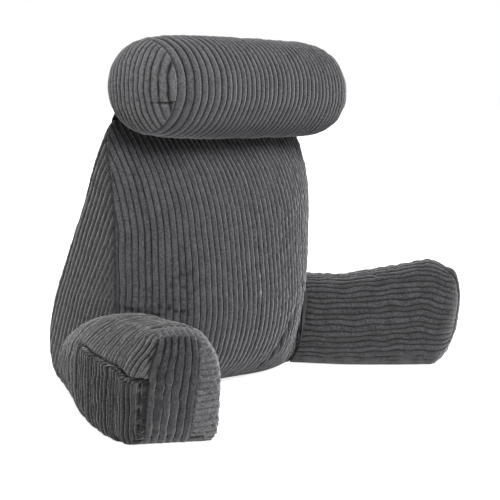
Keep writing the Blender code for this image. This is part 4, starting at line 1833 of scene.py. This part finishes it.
class StudioSettings(bpy.types.PropertyGroup):
    """The camera, the floor and the light."""

    target: FloatVectorProperty(
        name="Target", description="Where the camera looks",
        default=(0.007, -0.102, 0.261), size=3, subtype="XYZ", unit="LENGTH")
    azimuth: number("Azimuth", "Degrees round from the pillow's front", -44.0)
    elevation: number("Elevation", "Degrees up from level", 7.6)
    distance: number("Distance", "From the camera to its target", 2.171, unit="LENGTH")
    lens: number("Lens", "Focal length in millimetres on a 36 mm sensor", 85.0)
    floor_radius: number("Floor radius", "Size of the floor", 40.0, unit="LENGTH")
    floor_colour: colour_of("Floor colour", "Colour of the plain floor", (0.8, 0.8, 0.8))
    floor_glow: number("Floor glow", "Light that the floor gives the pillow", 0.0)
    floor_seen_glow: number("Floor glow seen", "Light of the floor itself, seen directly", 0.8)
    surround: number("Surround", "Strength of the even light from low down", 0.14)
    surround_top: number("Surround above", "Strength of the even light from above", 0.5)
    key_azimuth: number("Key azimuth", "Degrees round from the pillow's front", -30.0)
    key_elevation: number("Key elevation", "Degrees up from level", 35.0)
    key_spread: number("Key spread", "Degrees that the soft light is seen across", 30.0)
    key_strength: number("Key strength", "Strength of the soft light", 3.9)
    fill_azimuth: number("Fill azimuth", "Degrees round from the pillow's front", 140.0)
    fill_elevation: number("Fill elevation", "Degrees up from level", 18.0)
    fill_spread: number("Fill spread", "Degrees that the fill light is seen across", 60.0)
    fill_strength: number("Fill strength", "Strength of the light from behind", 1.0)


class PILLOW_OT_backrest(bpy.types.Operator):
    """Sew the backrest's cover"""

    bl_idname = "pillow.backrest"
    bl_label = "Backrest"

    def execute(self, context):
        build_backrest(context.scene.pillow)
        return {"FINISHED"}


class PILLOW_OT_arms(bpy.types.Operator):
    """Sew the covers of both arms"""

    bl_idname = "pillow.arms"
    bl_label = "Arms"

    def execute(self, context):
        for name in ARM_ROWS:
            build_arm(name, context.scene.pillow)
        return {"FINISHED"}


class PILLOW_OT_neck_roll(bpy.types.Operator):
    """Sew the neck roll's cover"""

    bl_idname = "pillow.neck_roll"
    bl_label = "Neck roll"

    def execute(self, context):
        build_neck_roll(context.scene.pillow)
        return {"FINISHED"}


class PILLOW_OT_straps(bpy.types.Operator):
    """Lay both webbing straps behind the roll"""

    bl_idname = "pillow.straps"
    bl_label = "Straps"

    def execute(self, context):
        for row in STRAP_ROWS:
            build_strap(*row, context.scene.pillow)
        return {"FINISHED"}


class PILLOW_OT_stage(bpy.types.Operator):
    """Set up the floor, the lights and the camera"""

    bl_idname = "pillow.stage"
    bl_label = "Studio"

    def execute(self, context):
        build_stage(context.scene.pillow_studio)
        return {"FINISHED"}


class PILLOW_PT_panel(bpy.types.Panel):
    """Buttons for the pillow's pieces and its studio"""

    bl_idname = "PILLOW_PT_panel"
    bl_label = "Reading pillow"
    bl_space_type = "VIEW_3D"
    bl_region_type = "UI"
    bl_category = "Pillow"

    def draw(self, context):
        for group in (context.scene.pillow, context.scene.pillow_studio):
            for name in group.__annotations__:
                self.layout.prop(group, name)
        for operator in OPERATORS:
            self.layout.operator(operator.bl_idname)


OPERATORS = (
    PILLOW_OT_stage,
    PILLOW_OT_backrest,
    PILLOW_OT_arms,
    PILLOW_OT_neck_roll,
    PILLOW_OT_straps,
)
CLASSES = (PillowSettings, StudioSettings, *OPERATORS, PILLOW_PT_panel)


def register():
    for cls in CLASSES:
        bpy.utils.register_class(cls)
    bpy.types.Scene.pillow = PointerProperty(type=PillowSettings)
    bpy.types.Scene.pillow_studio = PointerProperty(type=StudioSettings)


def unregister():
    del bpy.types.Scene.pillow_studio
    del bpy.types.Scene.pillow
    for cls in reversed(CLASSES):
        bpy.utils.unregister_class(cls)


def main():
    """Build everything with the default settings."""
    register()
    bpy.ops.pillow.stage()
    bpy.ops.pillow.backrest()
    bpy.ops.pillow.arms()
    bpy.ops.pillow.neck_roll()
    bpy.ops.pillow.straps()


if __name__ == "__main__":
    main()
